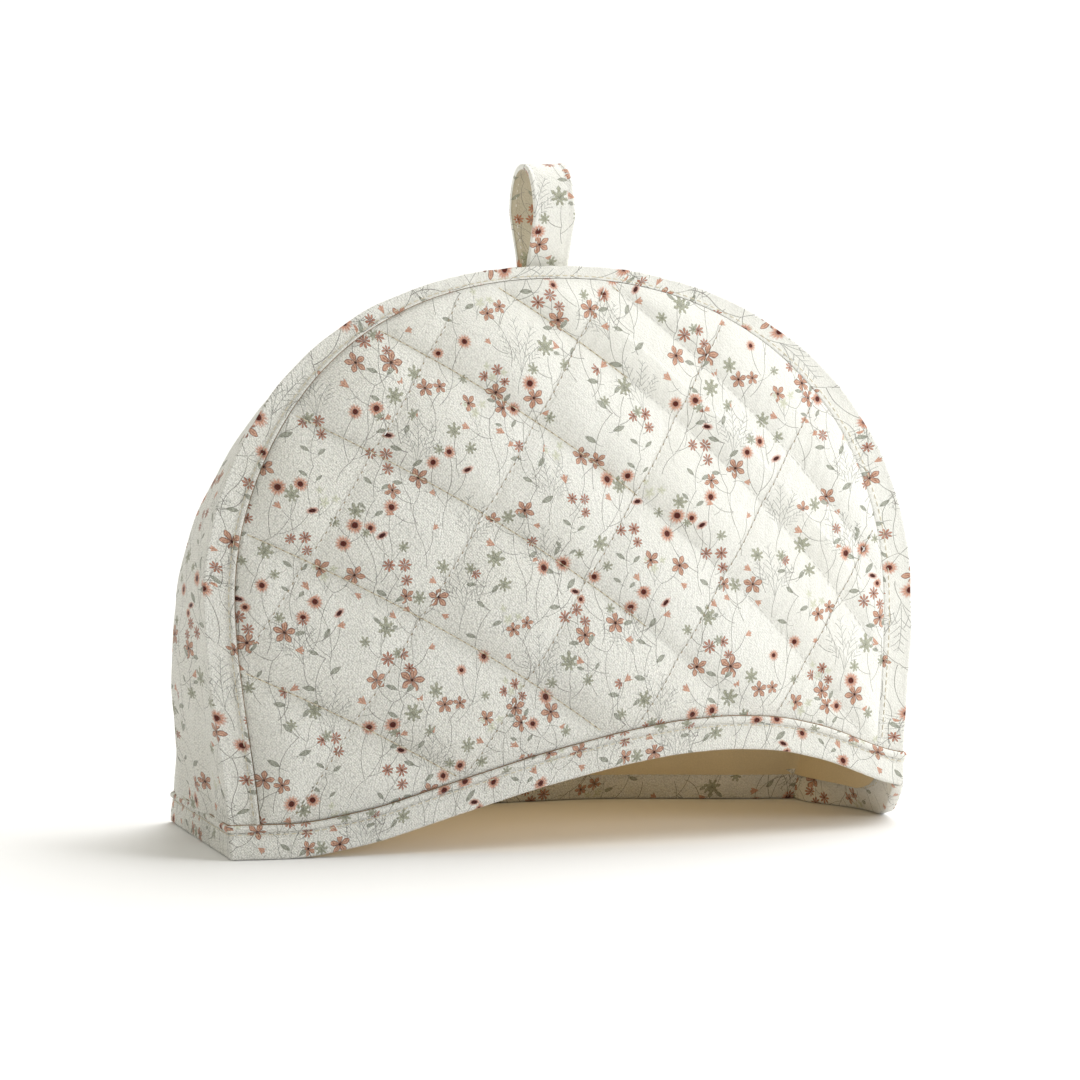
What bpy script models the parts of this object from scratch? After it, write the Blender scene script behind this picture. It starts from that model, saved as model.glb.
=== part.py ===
"""A quilted tea cosy: two D-shaped quilted panels, a boxing strip (gusset) over the dome between them,
a bound hem that arches up at the front, a hanging loop and a plain lining. It stands on its hem.
Metres, +Z up, front towards -Y. The origin is on the floor, under the middle of the cosy."""

import bmesh
import bpy
import numpy as np

# Dome outlines: half width, height, height where the round top starts, and roundness.
PANEL_HALF, PANEL_TOP = 0.1663, 0.2714
FRONT_RIDGE_HALF, FRONT_RIDGE_TOP, FRONT_POWER = 0.1808, 0.2768, 2.15
BACK_RIDGE_HALF, BACK_RIDGE_TOP, BACK_POWER = 0.1765, 0.2725, 1.95
SPRING = 0.118
PINCH_LEFT, PINCH_RIGHT, PINCH_TOP = 0.0085, 0.0110, 0.12  # how far each side draws in at the hem

# Depth: the panels stand apart at the hem and lean together at the top.
DEPTH_HEM, DEPTH_TOP, DEPTH_POWER = 0.130, 0.035, 1.9
FRONT_LEAN = 0.040
BULGE, BULGE_POWER, BULGE_FULL = 0.020, 2.2, 0.10  # how far the panels bow out, and where fully
STRIP_SET_BACK = 0.003  # the crease of the gusset lies behind the panel's seam
GUSSET_SAG, SAG_START, SAG_RANGE = 0.003, 0.20, 0.05  # the middle of the gusset dips at the top

# The back right corner is pushed in at the hem. Each row: where the dent starts, and over what length.
TUCK_BACK, TUCK_IN = 0.021, 0.009
TUCK_X = (0.04, 0.12)
TUCK_Y = (-0.03, 0.09)
TUCK_HEIGHT = 0.15

# Cloth thicknesses and clearances.
WALL = 0.003
PUFF = 0.0055
LINING, LINING_EASE, LINING_HOLD = 0.001, 0.0025, 0.020
GAP = 0.0006
SEAM_ROLL, SEAM_ROLL_WIDTH = 0.0014, 0.0030

# Hem band: height, how far it stands proud, thickness, the roll along its top, and its small roundings.
BAND, BAND_PROUD, BAND_THICK = 0.0165, 0.0010, 0.0056
BAND_ROLL, BAND_ROLL_HEIGHT, BAND_ROUND = 0.0013, 0.0034, 0.0010

# How high the lower edge is off the floor along the front.
FRONT_LIFT = (  # x, height
    (-0.172, 0.0000),
    (-0.137, 0.0000),
    (-0.102, 0.0062),
    (-0.062, 0.0178),
    (-0.022, 0.0288),
    (0.018, 0.0375),
    (0.048, 0.0420),
    (0.076, 0.0433),
    (0.105, 0.0411),
    (0.133, 0.0338),
    (0.153, 0.0250),
    (0.172, 0.0185),
)
LIFT_ROUNDING = 0.010
RIGHT_LIFT = (  # y, share of the front right corner's lift
    (-0.065, 1.00),
    (-0.052, 0.57),
    (-0.038, 0.16),
    (-0.024, 0.00),
    (0.065, 0.00),
)

# Quilting: lines that fall to the right, bending steeper, and straight lines that rise to the right.
FALL_HEIGHTS = (-0.0044, 0.0626, 0.1306, 0.1926, 0.2486, 0.2906)  # of each falling line at x = 0
FALL_SLOPE, FALL_BEND, FALL_RATE = 0.30, 0.070, 6.0
CLIMB_SLOPE, CLIMB_START, CLIMB_STEP, CLIMB_HEIGHT = 1.45, -0.015, 0.0725, 0.10
CLIMB_DEPTH = 0.65  # depth of the rising lines, as a share of the falling lines' depth
CHANNEL = 0.024  # distance from a line over which the padding swells up

# Hanging loop.
LOOP_WIDTH, LOOP_THICK, LOOP_HIGH = 0.021, 0.0024, 0.0505
LOOP_HALF_DEPTH, LOOP_FOOT_DEPTH, LOOP_NARROW = 0.0195, 0.0058, 0.027
LOOP_SHIFT, LOOP_ROUNDNESS, LOOP_SEAT = 0.0018, 0.45, 0.0019

# Numbers of steps in the meshes.
ACROSS, UP = 52, 30
LINING_ACROSS, LINING_UP, LINING_MIDDLES = 20, 12, 3
RING_FRONT, RING_BACK, RING_SIDE = 44, 30, 9
GIRDLE_SHARES = (0.0, 0.25, 0.5, 0.75, 1.0)
LOOP_STEPS = 24
CORNER_ROUNDS = 4  # repeats that settle a height against a width

PRINTED_CLOTH, SHADED_CLOTH, HEM_CLOTH = (0.78, 0.76, 0.69), (0.62, 0.60, 0.53), (0.66, 0.64, 0.57)
LOOP_CLOTH, LINING_CLOTH = (0.64, 0.61, 0.54), (0.50, 0.43, 0.32)
PRINTED_ROUGHNESS, LINING_ROUGHNESS = 0.85, 0.90
SHARP_DEGREES = 50


def smooth(a):
    a = np.clip(a, 0.0, 1.0)
    return a * a * (3.0 - 2.0 * a)


def front_lift(x):
    """Height of the lower edge from its table, rounded off between the rows by averaging."""
    table = np.array(FRONT_LIFT)
    offsets = np.linspace(-LIFT_ROUNDING, LIFT_ROUNDING, 9)
    return float(np.mean(np.interp(x + offsets, table[:, 0], table[:, 1])))


def right_lift(y):
    table = np.array(RIGHT_LIFT)
    share = float(np.interp(y, table[:, 0], table[:, 1]))
    return share * corner_height(FRONT_RIDGE_HALF, front_lift, 0.0)


def corner_height(half, lift, clear):
    """Height at which the right side, which draws in towards the hem, meets the lifted lower edge."""
    z = clear
    for _ in range(CORNER_ROUNDS):
        z = clear + lift(half - pinch(z, 1))
    return z


def front_y(z):
    return -DEPTH_HEM / 2 + FRONT_LEAN * z / PANEL_TOP


def depth_at(z):
    rest = np.clip(1.0 - z / FRONT_RIDGE_TOP, 0.0, 1.0)
    return DEPTH_TOP + (DEPTH_HEM - DEPTH_TOP) * rest**DEPTH_POWER


def back_y(z):
    return front_y(z) + depth_at(z)


def pinch(z, hand):
    """How far the left (-1) or right (1) side draws in at a height."""
    return (PINCH_RIGHT if hand > 0 else PINCH_LEFT) * smooth(1.0 - z / PINCH_TOP)


def tuck(x, y, z):
    """The soft dent at the lower right of the back."""
    share = smooth((x - TUCK_X[0]) / TUCK_X[1]) * smooth((y - TUCK_Y[0]) / TUCK_Y[1])
    share = share * smooth(1.0 - z / TUCK_HEIGHT)
    return x - TUCK_IN * share, y - TUCK_BACK * share


def dome_line(half, top, power, start_left, start_right, count):
    """Points (x, z) evenly along a dome, from its lower left end over the top to its lower right end."""
    rise = np.linspace(0.0, 1.0, 25)[:-1]
    angle = np.linspace(0.0, np.pi / 2, 121)
    arc_x = half * np.cos(angle) ** (2.0 / power)
    arc_z = SPRING + (top - SPRING) * np.sin(angle) ** (2.0 / power)
    arc_x[-1] = 0.0
    left_z = np.concatenate([start_left + (SPRING - start_left) * rise, arc_z])
    right_z = np.concatenate([start_right + (SPRING - start_right) * rise, arc_z])
    side_x = np.concatenate([np.full(len(rise), half), arc_x])
    xs = np.concatenate([pinch(left_z, -1) - side_x, (side_x - pinch(right_z, 1))[::-1][1:]])
    zs = np.concatenate([left_z, right_z[::-1][1:]])
    along = np.concatenate([[0.0], np.cumsum(np.hypot(np.diff(xs), np.diff(zs)))])
    even = np.linspace(0.0, along[-1], count)
    return np.interp(even, along, xs), np.interp(even, along, zs)


def bulge_at(x, z, half, top):
    """How far a padded panel bows out of the plane of its seam."""
    over = np.clip(z - SPRING, 0.0, None) / (top - SPRING)
    reach = np.abs(x / half) ** BULGE_POWER + over**BULGE_POWER
    return BULGE * np.clip(1.0 - reach, 0.0, 1.0) * (0.5 + 0.5 * smooth(z / BULGE_FULL))


def panel_size(side):
    """Half width, height and roundness of a panel's seam. Side is -1 for the front and 1 for the back."""
    if side < 0:
        return PANEL_HALF, PANEL_TOP, FRONT_POWER
    half = PANEL_HALF - FRONT_RIDGE_HALF + BACK_RIDGE_HALF
    return half, PANEL_TOP - FRONT_RIDGE_TOP + BACK_RIDGE_TOP, BACK_POWER


def ridge_size(side):
    """The same for the crease outside it."""
    if side < 0:
        return FRONT_RIDGE_HALF, FRONT_RIDGE_TOP, FRONT_POWER
    return BACK_RIDGE_HALF, BACK_RIDGE_TOP, BACK_POWER


def seam_plane(side, z):
    return front_y(z) if side < 0 else back_y(z)


def foot_of(side, clear):
    """The lower edge of a panel as a function of x, a clearance above the hem's lower edge."""
    return lambda x: clear + (front_lift(x) if side < 0 else 0.0)


def falling(x):
    return FALL_SLOPE * x + FALL_BEND * (np.exp(FALL_RATE * x) - 1.0)


def swell(x, z, rim):
    """Padding between the quilting lines: nothing on a line or at the rim, full in mid-diamond."""
    steep = FALL_SLOPE + FALL_BEND * FALL_RATE * np.exp(FALL_RATE * x)
    fall = np.min([np.abs(z + falling(x) - height) for height in FALL_HEIGHTS], axis=0)
    fall = fall / np.hypot(1.0, steep)
    step = CLIMB_STEP * CLIMB_SLOPE
    over = z - CLIMB_HEIGHT - CLIMB_SLOPE * (x - CLIMB_START)
    climb = np.abs(over - step * np.round(over / step)) / np.hypot(1.0, CLIMB_SLOPE)
    from_fall = np.sqrt(smooth(fall / CHANNEL))
    from_climb = 1.0 - CLIMB_DEPTH * (1.0 - np.sqrt(smooth(climb / CHANNEL)))
    return PUFF * from_fall * from_climb * np.sqrt(smooth(rim / CHANNEL))


def edge_distance(x, z, rim_x, rim_z):
    """Distance from each point to the nearest stretch of a panel's rim."""
    ends = np.stack([np.append(rim_x, rim_x[0]), np.append(rim_z, rim_z[0])], axis=1)
    starts, steps = ends[:-1], np.diff(ends, axis=0)
    points = np.stack([x, z], axis=-1)[..., None, :] - starts
    length = (steps**2).sum(axis=1)
    share = np.clip((points * steps).sum(axis=-1) / np.maximum(length, 1e-12), 0.0, 1.0)
    return np.sqrt(((points - share[..., None] * steps) ** 2).sum(axis=-1)).min(axis=-1)


def d_grid(left, top, right, foot):
    """A grid over a D, blended from its four sides. A side runs left to right or foot to top."""
    u = np.linspace(0.0, 1.0, len(top))[:, None, None]
    v = np.linspace(0.0, 1.0, len(left))[None, :, None]
    sides = (1 - u) * left[None] + u * right[None]
    sides = sides + (1 - v) * foot[:, None] + v * top[:, None]
    corners = (1 - u) * (1 - v) * foot[0] + u * (1 - v) * foot[-1]
    return sides - corners - (1 - u) * v * top[0] - u * v * top[-1]


def d_rim(half, top, power, foot_at, across, up):
    """The four sides of a D: its dome cut into left side, top and right side, and its lower edge."""
    ends = foot_at(-half), corner_height(half, foot_at, 0.0)
    x, z = dome_line(half, top, power, *ends, across + 2 * up + 1)
    line = np.stack([x, z], axis=1)
    foot_x = np.linspace(x[0], x[-1], across + 1)
    foot_z = np.array([foot_at(value) for value in foot_x])
    foot_z[0], foot_z[-1] = z[0], z[-1]
    foot = np.stack([foot_x, foot_z], axis=1)
    return line[: up + 1], line[up : up + across + 1], line[up + across :][::-1], foot


def add_object(name, points, faces, colour, roughness=PRINTED_ROUGHNESS):
    mesh = bpy.data.meshes.new(name)
    mesh.from_pydata([tuple(float(value) for value in point) for point in points], [], faces)
    shape = bmesh.new()
    shape.from_mesh(mesh)
    bmesh.ops.recalc_face_normals(shape, faces=shape.faces)
    bmesh.ops.triangulate(shape, faces=shape.faces)
    shape.to_mesh(mesh)
    shape.free()
    mesh.shade_smooth()
    mesh.set_sharp_from_angle(angle=np.radians(SHARP_DEGREES))
    material = bpy.data.materials.new(name + "_cloth")
    material.use_nodes = True
    surface = material.node_tree.nodes["Principled BSDF"]
    surface.inputs["Base Color"].default_value = (*colour, 1.0)
    surface.inputs["Roughness"].default_value = roughness
    surface.inputs["Metallic"].default_value = 0.0
    mesh.materials.append(material)
    made = bpy.data.objects.new(name, mesh)
    bpy.context.scene.collection.objects.link(made)
    return made


def strip_faces(line_a, line_b):
    """Quads between two lines of indices of the same length."""
    return [(line_a[i], line_a[i + 1], line_b[i + 1], line_b[i]) for i in range(len(line_a) - 1)]


def grid_faces(first, columns, rows):
    faces = []
    for a in range(columns - 1):
        here = [first + a * rows + b for b in range(rows)]
        then = [index + rows for index in here]
        faces += strip_faces(here, then)
    return faces


def grid_dome(first, columns, rows):
    """Indices from the lower left of a D grid over its top to the lower right."""
    left = [first + b for b in range(rows)]
    top = [first + a * rows + rows - 1 for a in range(1, columns)]
    right = [first + (columns - 1) * rows + b for b in range(rows - 2, -1, -1)]
    return left + top + right


def grid_rim(first, columns, rows):
    """Indices round the edge of a grid."""
    foot = [first + a * rows for a in range(columns)]
    return foot + grid_dome(first, columns, rows)[::-1][1:-1]


def stitch(fine, coarse):
    """Joins two rims, the first with twice as many points as the second."""
    faces = []
    for j in range(len(coarse)):
        here, then = coarse[j], coarse[(j + 1) % len(coarse)]
        a, b, c = fine[2 * j], fine[2 * j + 1], fine[(2 * j + 2) % len(fine)]
        faces += [(a, b, here), (b, then, here), (b, c, then)]
    return faces


def ring_solid(name, sections, colour, closed):
    """A solid swept through closed sections, which have the same number of points."""
    count, size = len(sections), len(sections[0])
    points = [point for section in sections for point in section]
    faces = []
    for a in range(count if closed else count - 1):
        b = (a + 1) % count
        for k in range(size):
            m = (k + 1) % size
            faces.append((a * size + k, b * size + k, b * size + m, a * size + m))
    if not closed:
        faces.append(tuple(range(size - 1, -1, -1)))
        faces.append(tuple(range((count - 1) * size, count * size)))
    return add_object(name, points, faces, colour)


def panel(name, side):
    """A quilted panel: puffed outside, smooth inside."""
    full_half, full_top, power = panel_size(side)
    sides = d_rim(full_half - GAP, full_top - GAP, power, foot_of(side, BAND + GAP), ACROSS, UP)
    grid = d_grid(*sides)
    rim = np.concatenate([sides[3], sides[2][1:], sides[1][::-1][1:], sides[0][::-1][1:-1]])
    from_rim = edge_distance(grid[..., 0], grid[..., 1], rim[:, 0], rim[:, 1])
    padding = swell(-side * grid[..., 0], grid[..., 1], from_rim)

    def placed(flat, out):
        x, z = flat[..., 0], flat[..., 1]
        y = seam_plane(side, z) + side * (bulge_at(x, z, full_half, full_top) + out)
        x, y = tuck(x, y, z)
        return np.stack([x, y, z], axis=-1).reshape(-1, 3)

    outer = placed(grid, padding)
    inner = placed(grid[::2, ::2], -WALL)
    columns, rows = ACROSS + 1, UP + 1
    small_columns, small_rows = ACROSS // 2 + 1, UP // 2 + 1
    first = len(outer)
    faces = grid_faces(0, columns, rows) + grid_faces(first, small_columns, small_rows)
    faces += stitch(grid_rim(0, columns, rows), grid_rim(first, small_columns, small_rows))
    return add_object(name, np.concatenate([outer, inner]), faces, PRINTED_CLOTH)


def girdle_line(share, inset, count, clear, set_back=0.0):
    """Points along the gusset, lower left to lower right: share is 0 at the front crease, 1 at the back."""
    half = FRONT_RIDGE_HALF + (BACK_RIDGE_HALF - FRONT_RIDGE_HALF) * share - inset
    top = FRONT_RIDGE_TOP + (BACK_RIDGE_TOP - FRONT_RIDGE_TOP) * share - inset
    power = FRONT_POWER + (BACK_POWER - FRONT_POWER) * share
    low_y = front_y(0.0) + DEPTH_HEM * share
    x, z = dome_line(half, top, power, clear, clear + right_lift(low_y), count)
    z = z - GUSSET_SAG * 4.0 * share * (1.0 - share) * smooth((z - SAG_START) / SAG_RANGE)
    y = front_y(z) + STRIP_SET_BACK * (1 - 2 * share) + depth_at(z) * share + set_back
    x, y = tuck(x, y, z)
    return np.stack([x, y, z], axis=1)


def strip_line(side, inset, out, count, clear):
    """Points along the border strip: inset is 0 at the crease and 1 at the panel's seam."""
    ridge_half, ridge_top, power = ridge_size(side)
    half = ridge_half - (FRONT_RIDGE_HALF - PANEL_HALF) * inset
    top = ridge_top - (FRONT_RIDGE_TOP - PANEL_TOP) * inset
    right = corner_height(half, foot_of(side, clear), 0.0)
    x, z = dome_line(half, top, power, clear, right, count)
    y = seam_plane(side, z) - side * STRIP_SET_BACK * (1 - inset) + side * out
    x, y = tuck(x, y, z)
    return np.stack([x, y, z], axis=1)


def gusset():
    """The boxing strip, with the border that runs round each panel and a roll beside each seam."""
    count, clear = ACROSS + 2 * UP + 1, BAND + GAP
    roll = SEAM_ROLL_WIDTH / (FRONT_RIDGE_HALF - PANEL_HALF)
    border = (  # inset, how far out of the strip's plane
        (1.0, 0.0),
        (1.0 - 0.25 * roll, SEAM_ROLL),
        (1.0 - 0.80 * roll, SEAM_ROLL),
        (1.0 - roll, 0.0),
    )
    lines = [strip_line(-1, inset, out, count, clear) for inset, out in border]
    lines += [girdle_line(share, 0.0, count, clear) for share in GIRDLE_SHARES]
    lines += [strip_line(1, inset, out, count, clear) for inset, out in border[::-1]]
    lines.append(strip_line(1, 1.0, -WALL, count, clear))
    inward = {0.0: WALL, 1.0: -WALL}
    for share in GIRDLE_SHARES[::-1]:
        lines.append(girdle_line(share, WALL, count, clear, inward.get(share, 0.0)))
    lines.append(strip_line(-1, 1.0, -WALL, count, clear))
    return ring_solid("gusset", np.stack(lines, axis=1), SHADED_CLOTH, closed=False)


def edge_point(side, across, rise):
    """A point on the band's face at the front or back, a given height up the band."""
    ridge_half = ridge_size(side)[0]
    strip = FRONT_RIDGE_HALF - PANEL_HALF
    z, lift_at = rise, foot_of(side, rise)
    for _ in range(CORNER_ROUNDS):
        edge = ridge_half - pinch(z, across)
        z = lift_at(across * edge)
    x = across * edge
    over = np.clip((abs(x) - edge + strip) / strip, 0.0, 1.0)
    y = seam_plane(side, z) + side * (bulge_at(x, z, *panel_size(side)[:2]) - STRIP_SET_BACK * over)
    return x, y, z


def end_point(hand, share, rise):
    """A point on the band's face at the left (-1) or right (1) end, from front (share 0) to back (1)."""
    low_y = front_y(0.0) + DEPTH_HEM * share
    z = rise + (right_lift(low_y) if hand > 0 else 0.0)
    half = FRONT_RIDGE_HALF + (BACK_RIDGE_HALF - FRONT_RIDGE_HALF) * share - pinch(z, hand)
    y = front_y(z) + STRIP_SET_BACK * (1 - 2 * share) + depth_at(z) * share
    return hand * half, y, z


def hem_path(rise):
    """Points round the lower edge, a given height up its band, with the ridge corners included."""
    points = [edge_point(-1, across, rise) for across in np.linspace(-1, 1, RING_FRONT + 1)[:-1]]
    points += [end_point(1, share, rise) for share in np.linspace(0, 1, RING_SIDE + 1)[:-1]]
    points += [edge_point(1, across, rise) for across in np.linspace(1, -1, RING_BACK + 1)[:-1]]
    points += [end_point(-1, share, rise) for share in np.linspace(1, 0, RING_SIDE + 1)[:-1]]
    points = np.array(points)
    points[:, 0], points[:, 1] = tuck(points[:, 0], points[:, 1], points[:, 2])
    return points


def outward(path):
    """Horizontal directions pointing out of a closed path that runs anticlockwise, mitred at corners."""
    along = np.roll(path, -1, axis=0)[:, :2] - path[:, :2]
    along /= np.linalg.norm(along, axis=1)[:, None]
    side = np.stack([along[:, 1], -along[:, 0]], axis=1)
    mean = side + np.roll(side, 1, axis=0)
    mean /= np.linalg.norm(mean, axis=1)[:, None]
    mitre = 1.0 / np.maximum((mean * side).sum(axis=1), 0.6)
    return np.concatenate([mean * mitre[:, None], np.zeros((len(path), 1))], axis=1)


def hem_band():
    """The binding: a ring round the lower edge with a rolled upper edge. Its underside is flat."""
    foot, head = hem_path(0.0), hem_path(BAND)
    out = outward(foot)
    low_roll, inside = BAND - BAND_ROLL_HEIGHT, BAND_PROUD - BAND_THICK
    rolled = BAND_PROUD + BAND_ROLL
    profile = (  # height up the band, distance out
        (0.0, BAND_PROUD - 1.4 * BAND_ROUND),
        (1.2 * BAND_ROUND, BAND_PROUD),
        (low_roll, BAND_PROUD),
        (low_roll + 0.8 * BAND_ROUND, rolled),
        (BAND - 0.8 * BAND_ROUND, rolled),
        (BAND, BAND_PROUD - 0.3 * BAND_ROUND),
        (BAND, inside),
        (1.2 * BAND_ROUND, inside),
        (0.0, inside + BAND_ROUND),
    )
    sections = [
        [foot[i] + (head[i] - foot[i]) * up / BAND + out[i] * reach for up, reach in profile]
        for i in range(len(foot))
    ]
    return ring_solid("hem_band", sections, HEM_CLOTH, closed=True)


def lining_sheet(side, depth):
    """A grid of points over the inside of one panel."""
    ridge_half, ridge_top, power = ridge_size(side)
    inset = depth + LINING_EASE
    foot_at = foot_of(side, BAND + GAP)
    sides = d_rim(ridge_half - inset, ridge_top - inset, power, foot_at, LINING_ACROSS, LINING_UP)
    grid = d_grid(*sides)
    x, z = grid[..., 0], grid[..., 1]
    rim = np.concatenate([sides[0], sides[1][1:], sides[2][::-1][1:]])
    near = edge_distance(x, z, rim[:, 0], rim[:, 1])
    held = STRIP_SET_BACK * smooth(1.0 - near / LINING_HOLD)
    bow = bulge_at(x, z, *panel_size(side)[:2])
    x, y = tuck(x, seam_plane(side, z) + side * (bow - depth - held), z)
    return np.stack([x, y, z], axis=-1).reshape(-1, 3)


def lining():
    """The inner bag: one thin skin behind both panels and the gusset."""
    columns, rows = LINING_ACROSS + 1, LINING_UP + 1
    count = LINING_ACROSS + 2 * LINING_UP + 1
    size = columns * rows
    points, faces, rims = [], [], []
    for depth in (WALL + GAP, WALL + GAP + LINING):
        first = len(points)
        points += list(lining_sheet(-1, depth)) + list(lining_sheet(1, depth))
        faces += grid_faces(first, columns, rows) + grid_faces(first + size, columns, rows)
        line, middles = grid_dome(first, columns, rows), []
        for step in range(1, LINING_MIDDLES + 1):
            share = step / (LINING_MIDDLES + 1)
            middle = list(range(len(points), len(points) + count))
            points += list(girdle_line(share, depth + LINING_EASE, count, BAND + GAP))
            faces += strip_faces(line, middle)
            middles.append(middle)
            line = middle
        faces += strip_faces(line, grid_dome(first + size, columns, rows))
        front_foot = [first + a * rows for a in range(columns)]
        back_foot = [index + size for index in front_foot[::-1]]
        right, left = [line[-1] for line in middles], [line[0] for line in middles[::-1]]
        rims.append(front_foot + right + back_foot + left)
    outer, inner = [rim + rim[:1] for rim in rims]
    faces += strip_faces(outer, inner)
    return add_object("lining", points, faces, LINING_CLOTH, LINING_ROUGHNESS)


def loop():
    """A ribbon folded over and sewn down by both ends, its eye running along X."""
    angle = np.linspace(-np.pi / 2, np.pi / 2, 721)
    height = np.clip(np.cos(angle), 0.0, 1.0) ** LOOP_ROUNDNESS * LOOP_HIGH
    widening = np.interp(height, (0.0, LOOP_NARROW), (LOOP_FOOT_DEPTH / LOOP_HALF_DEPTH, 1.0))
    across = np.sin(angle) * LOOP_HALF_DEPTH * widening
    along = np.concatenate([[0.0], np.cumsum(np.hypot(np.diff(across), np.diff(height)))])
    even = np.linspace(0.0, along[-1], LOOP_STEPS + 1)
    across, height = np.interp(even, along, across), np.interp(even, along, height)
    slope_y, slope_z = np.gradient(across), np.gradient(height)
    length = np.hypot(slope_y, slope_z)
    normal_y, normal_z = -slope_z / length, slope_y / length
    middle = (front_y(FRONT_RIDGE_TOP) + back_y(BACK_RIDGE_TOP)) / 2
    foot = BACK_RIDGE_TOP + LOOP_SEAT
    sections = []
    for i in range(len(even)):
        ring = []
        for hand, out in ((-1, 1), (1, 1), (1, -1), (-1, -1)):
            y = middle + across[i] + normal_y[i] * out * LOOP_THICK / 2
            z = foot + height[i] + normal_z[i] * out * LOOP_THICK / 2
            ring.append((LOOP_SHIFT + hand * LOOP_WIDTH / 2, y, z))
        sections.append(ring)
    return ring_solid("loop", sections, LOOP_CLOTH, closed=False)


for old in list(bpy.data.objects):
    bpy.data.objects.remove(old, do_unlink=True)

panel("front_panel", -1)
panel("back_panel", 1)
gusset()
hem_band()
lining()
loop()
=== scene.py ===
import dataclasses
import math
import bpy
import numpy as np
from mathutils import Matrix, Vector, kdtree
from mathutils.bvhtree import BVHTree


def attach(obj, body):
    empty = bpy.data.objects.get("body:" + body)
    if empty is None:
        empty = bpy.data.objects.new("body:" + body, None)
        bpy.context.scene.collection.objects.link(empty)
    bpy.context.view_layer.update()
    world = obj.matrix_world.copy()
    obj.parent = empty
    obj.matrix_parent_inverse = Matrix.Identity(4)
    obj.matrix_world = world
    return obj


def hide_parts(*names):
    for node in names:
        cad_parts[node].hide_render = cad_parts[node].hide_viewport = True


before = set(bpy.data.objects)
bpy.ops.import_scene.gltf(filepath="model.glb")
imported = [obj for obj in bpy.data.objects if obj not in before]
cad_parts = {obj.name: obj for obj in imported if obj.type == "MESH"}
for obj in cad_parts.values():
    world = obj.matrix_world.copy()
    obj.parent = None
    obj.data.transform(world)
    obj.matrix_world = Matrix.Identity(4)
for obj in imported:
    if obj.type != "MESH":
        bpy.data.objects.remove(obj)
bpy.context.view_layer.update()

print("tea cosy: the shape that every cloth is cut to")

shape = {
    "panelHalf": 0.1663, "panelTop": 0.2714,
    "frontHalf": 0.1808, "frontTop": 0.2768, "frontPower": 2.15,
    "backHalf": 0.1765, "backTop": 0.2725, "backPower": 1.95,
    "spring": 0.118,  # where the round top starts
    "shoulder": 0.0036, "shoulderHeight": 0.200, "shoulderReach": 0.055,  # the left shoulder slumps a little
    "pinchLeft": 0.0085, "pinchRight": 0.0110, "pinchTop": 0.12,  # the ends draw in towards the hem
    "depthHem": 0.130, "depthTop": 0.035, "depthPower": 1.9,  # front to back, at the hem and over the dome
    "lean": 0.040,  # how far the front leans back over its height
    "bulge": 0.020, "bulgePower": 2.2, "bulgeFull": 0.10,
    "setBack": 0.0012, "sag": 0.003, "sagStart": 0.20, "sagRange": 0.05,  # the strip's hollow over the dome
    "tuckBack": 0.021, "tuckIn": 0.009, "tuckHeight": 0.15,  # the soft dent at the lower right of the back
    "band": 0.0165, "bandProud": 0.0010, "bandThick": 0.0056,
    # the quilting's puff, and how far its slopes reach from a stitched line and from the rim
    "puff": 0.0066, "channel": 0.0255, "rimChannel": 0.018,
    "pucker": 0.00032, "wrinkle": 0.00022,  # small unevenness of the quilted cloth
    # height of the lower edge along the front, and the share of it that is left along the right end
    "liftX": (-0.172, -0.137, -0.102, -0.062, -0.022, 0.018, 0.048, 0.076, 0.105, 0.133, 0.153, 0.172),
    "liftZ": (0.0, 0.0, 0.0062, 0.0178, 0.0288, 0.0375, 0.0420, 0.0433, 0.0411, 0.0338, 0.0250, 0.0185),
    "endY": (-0.065, -0.052, -0.038, -0.024, 0.065),
    "endShare": (1.0, 0.57, 0.16, 0.0, 0.0),
    # quilting: falling lines by their height in the middle, rising lines by their spacing
    "fallHeights": (-0.0044, 0.0626, 0.1306, 0.1926, 0.2486, 0.2906),
    "fallSlope": 0.30, "fallBend": 0.070, "fallRate": 6.0,
    "riseSlope": 1.45, "riseStart": -0.015, "riseBase": 0.10, "riseStep": 0.0725, "riseDepth": 0.42,
}


def smooth(a):
    a = np.clip(a, 0.0, 1.0)
    return a * a * (3.0 - 2.0 * a)


def waves(x, y, size, seed, count=9):
    # soft unevenness between about -1 and 1, from waves of about this length
    rng = np.random.default_rng(seed)
    total = np.zeros(np.broadcast(x, y).shape)
    for _ in range(count):
        turn = rng.uniform(0, 2 * math.pi)
        length = size * rng.uniform(0.7, 1.6)
        along = x * math.cos(turn) + y * math.sin(turn)
        total += np.sin(along * 2 * math.pi / length + rng.uniform(0, 6.3))
    return total / math.sqrt(count) * 0.8


def frontLift(x):
    x = np.asarray(x, float)
    offsets = np.linspace(-0.010, 0.010, 9)
    return np.interp(x[..., None] + offsets, shape["liftX"], shape["liftZ"]).mean(axis=-1)


def pinch(z, hand):
    far = shape["pinchRight"] if hand > 0 else shape["pinchLeft"]
    return far * smooth(1.0 - z / shape["pinchTop"])


def cornerHeight(half, clear, lifted=True):
    z = clear
    for _ in range(4):
        z = clear + (float(frontLift(half - pinch(z, 1))) if lifted else 0.0)
    return z


def rightLift(y):
    return np.interp(y, shape["endY"], shape["endShare"]) * cornerHeight(shape["frontHalf"], 0.0)


def frontY(z):
    return -shape["depthHem"] / 2 + shape["lean"] * z / shape["panelTop"]


def depthAt(z):
    rest = np.clip(1.0 - z / shape["frontTop"], 0.0, 1.0)
    return shape["depthTop"] + (shape["depthHem"] - shape["depthTop"]) * rest ** shape["depthPower"]


def seamPlane(side, z):
    return frontY(z) if side < 0 else frontY(z) + depthAt(z)


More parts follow.
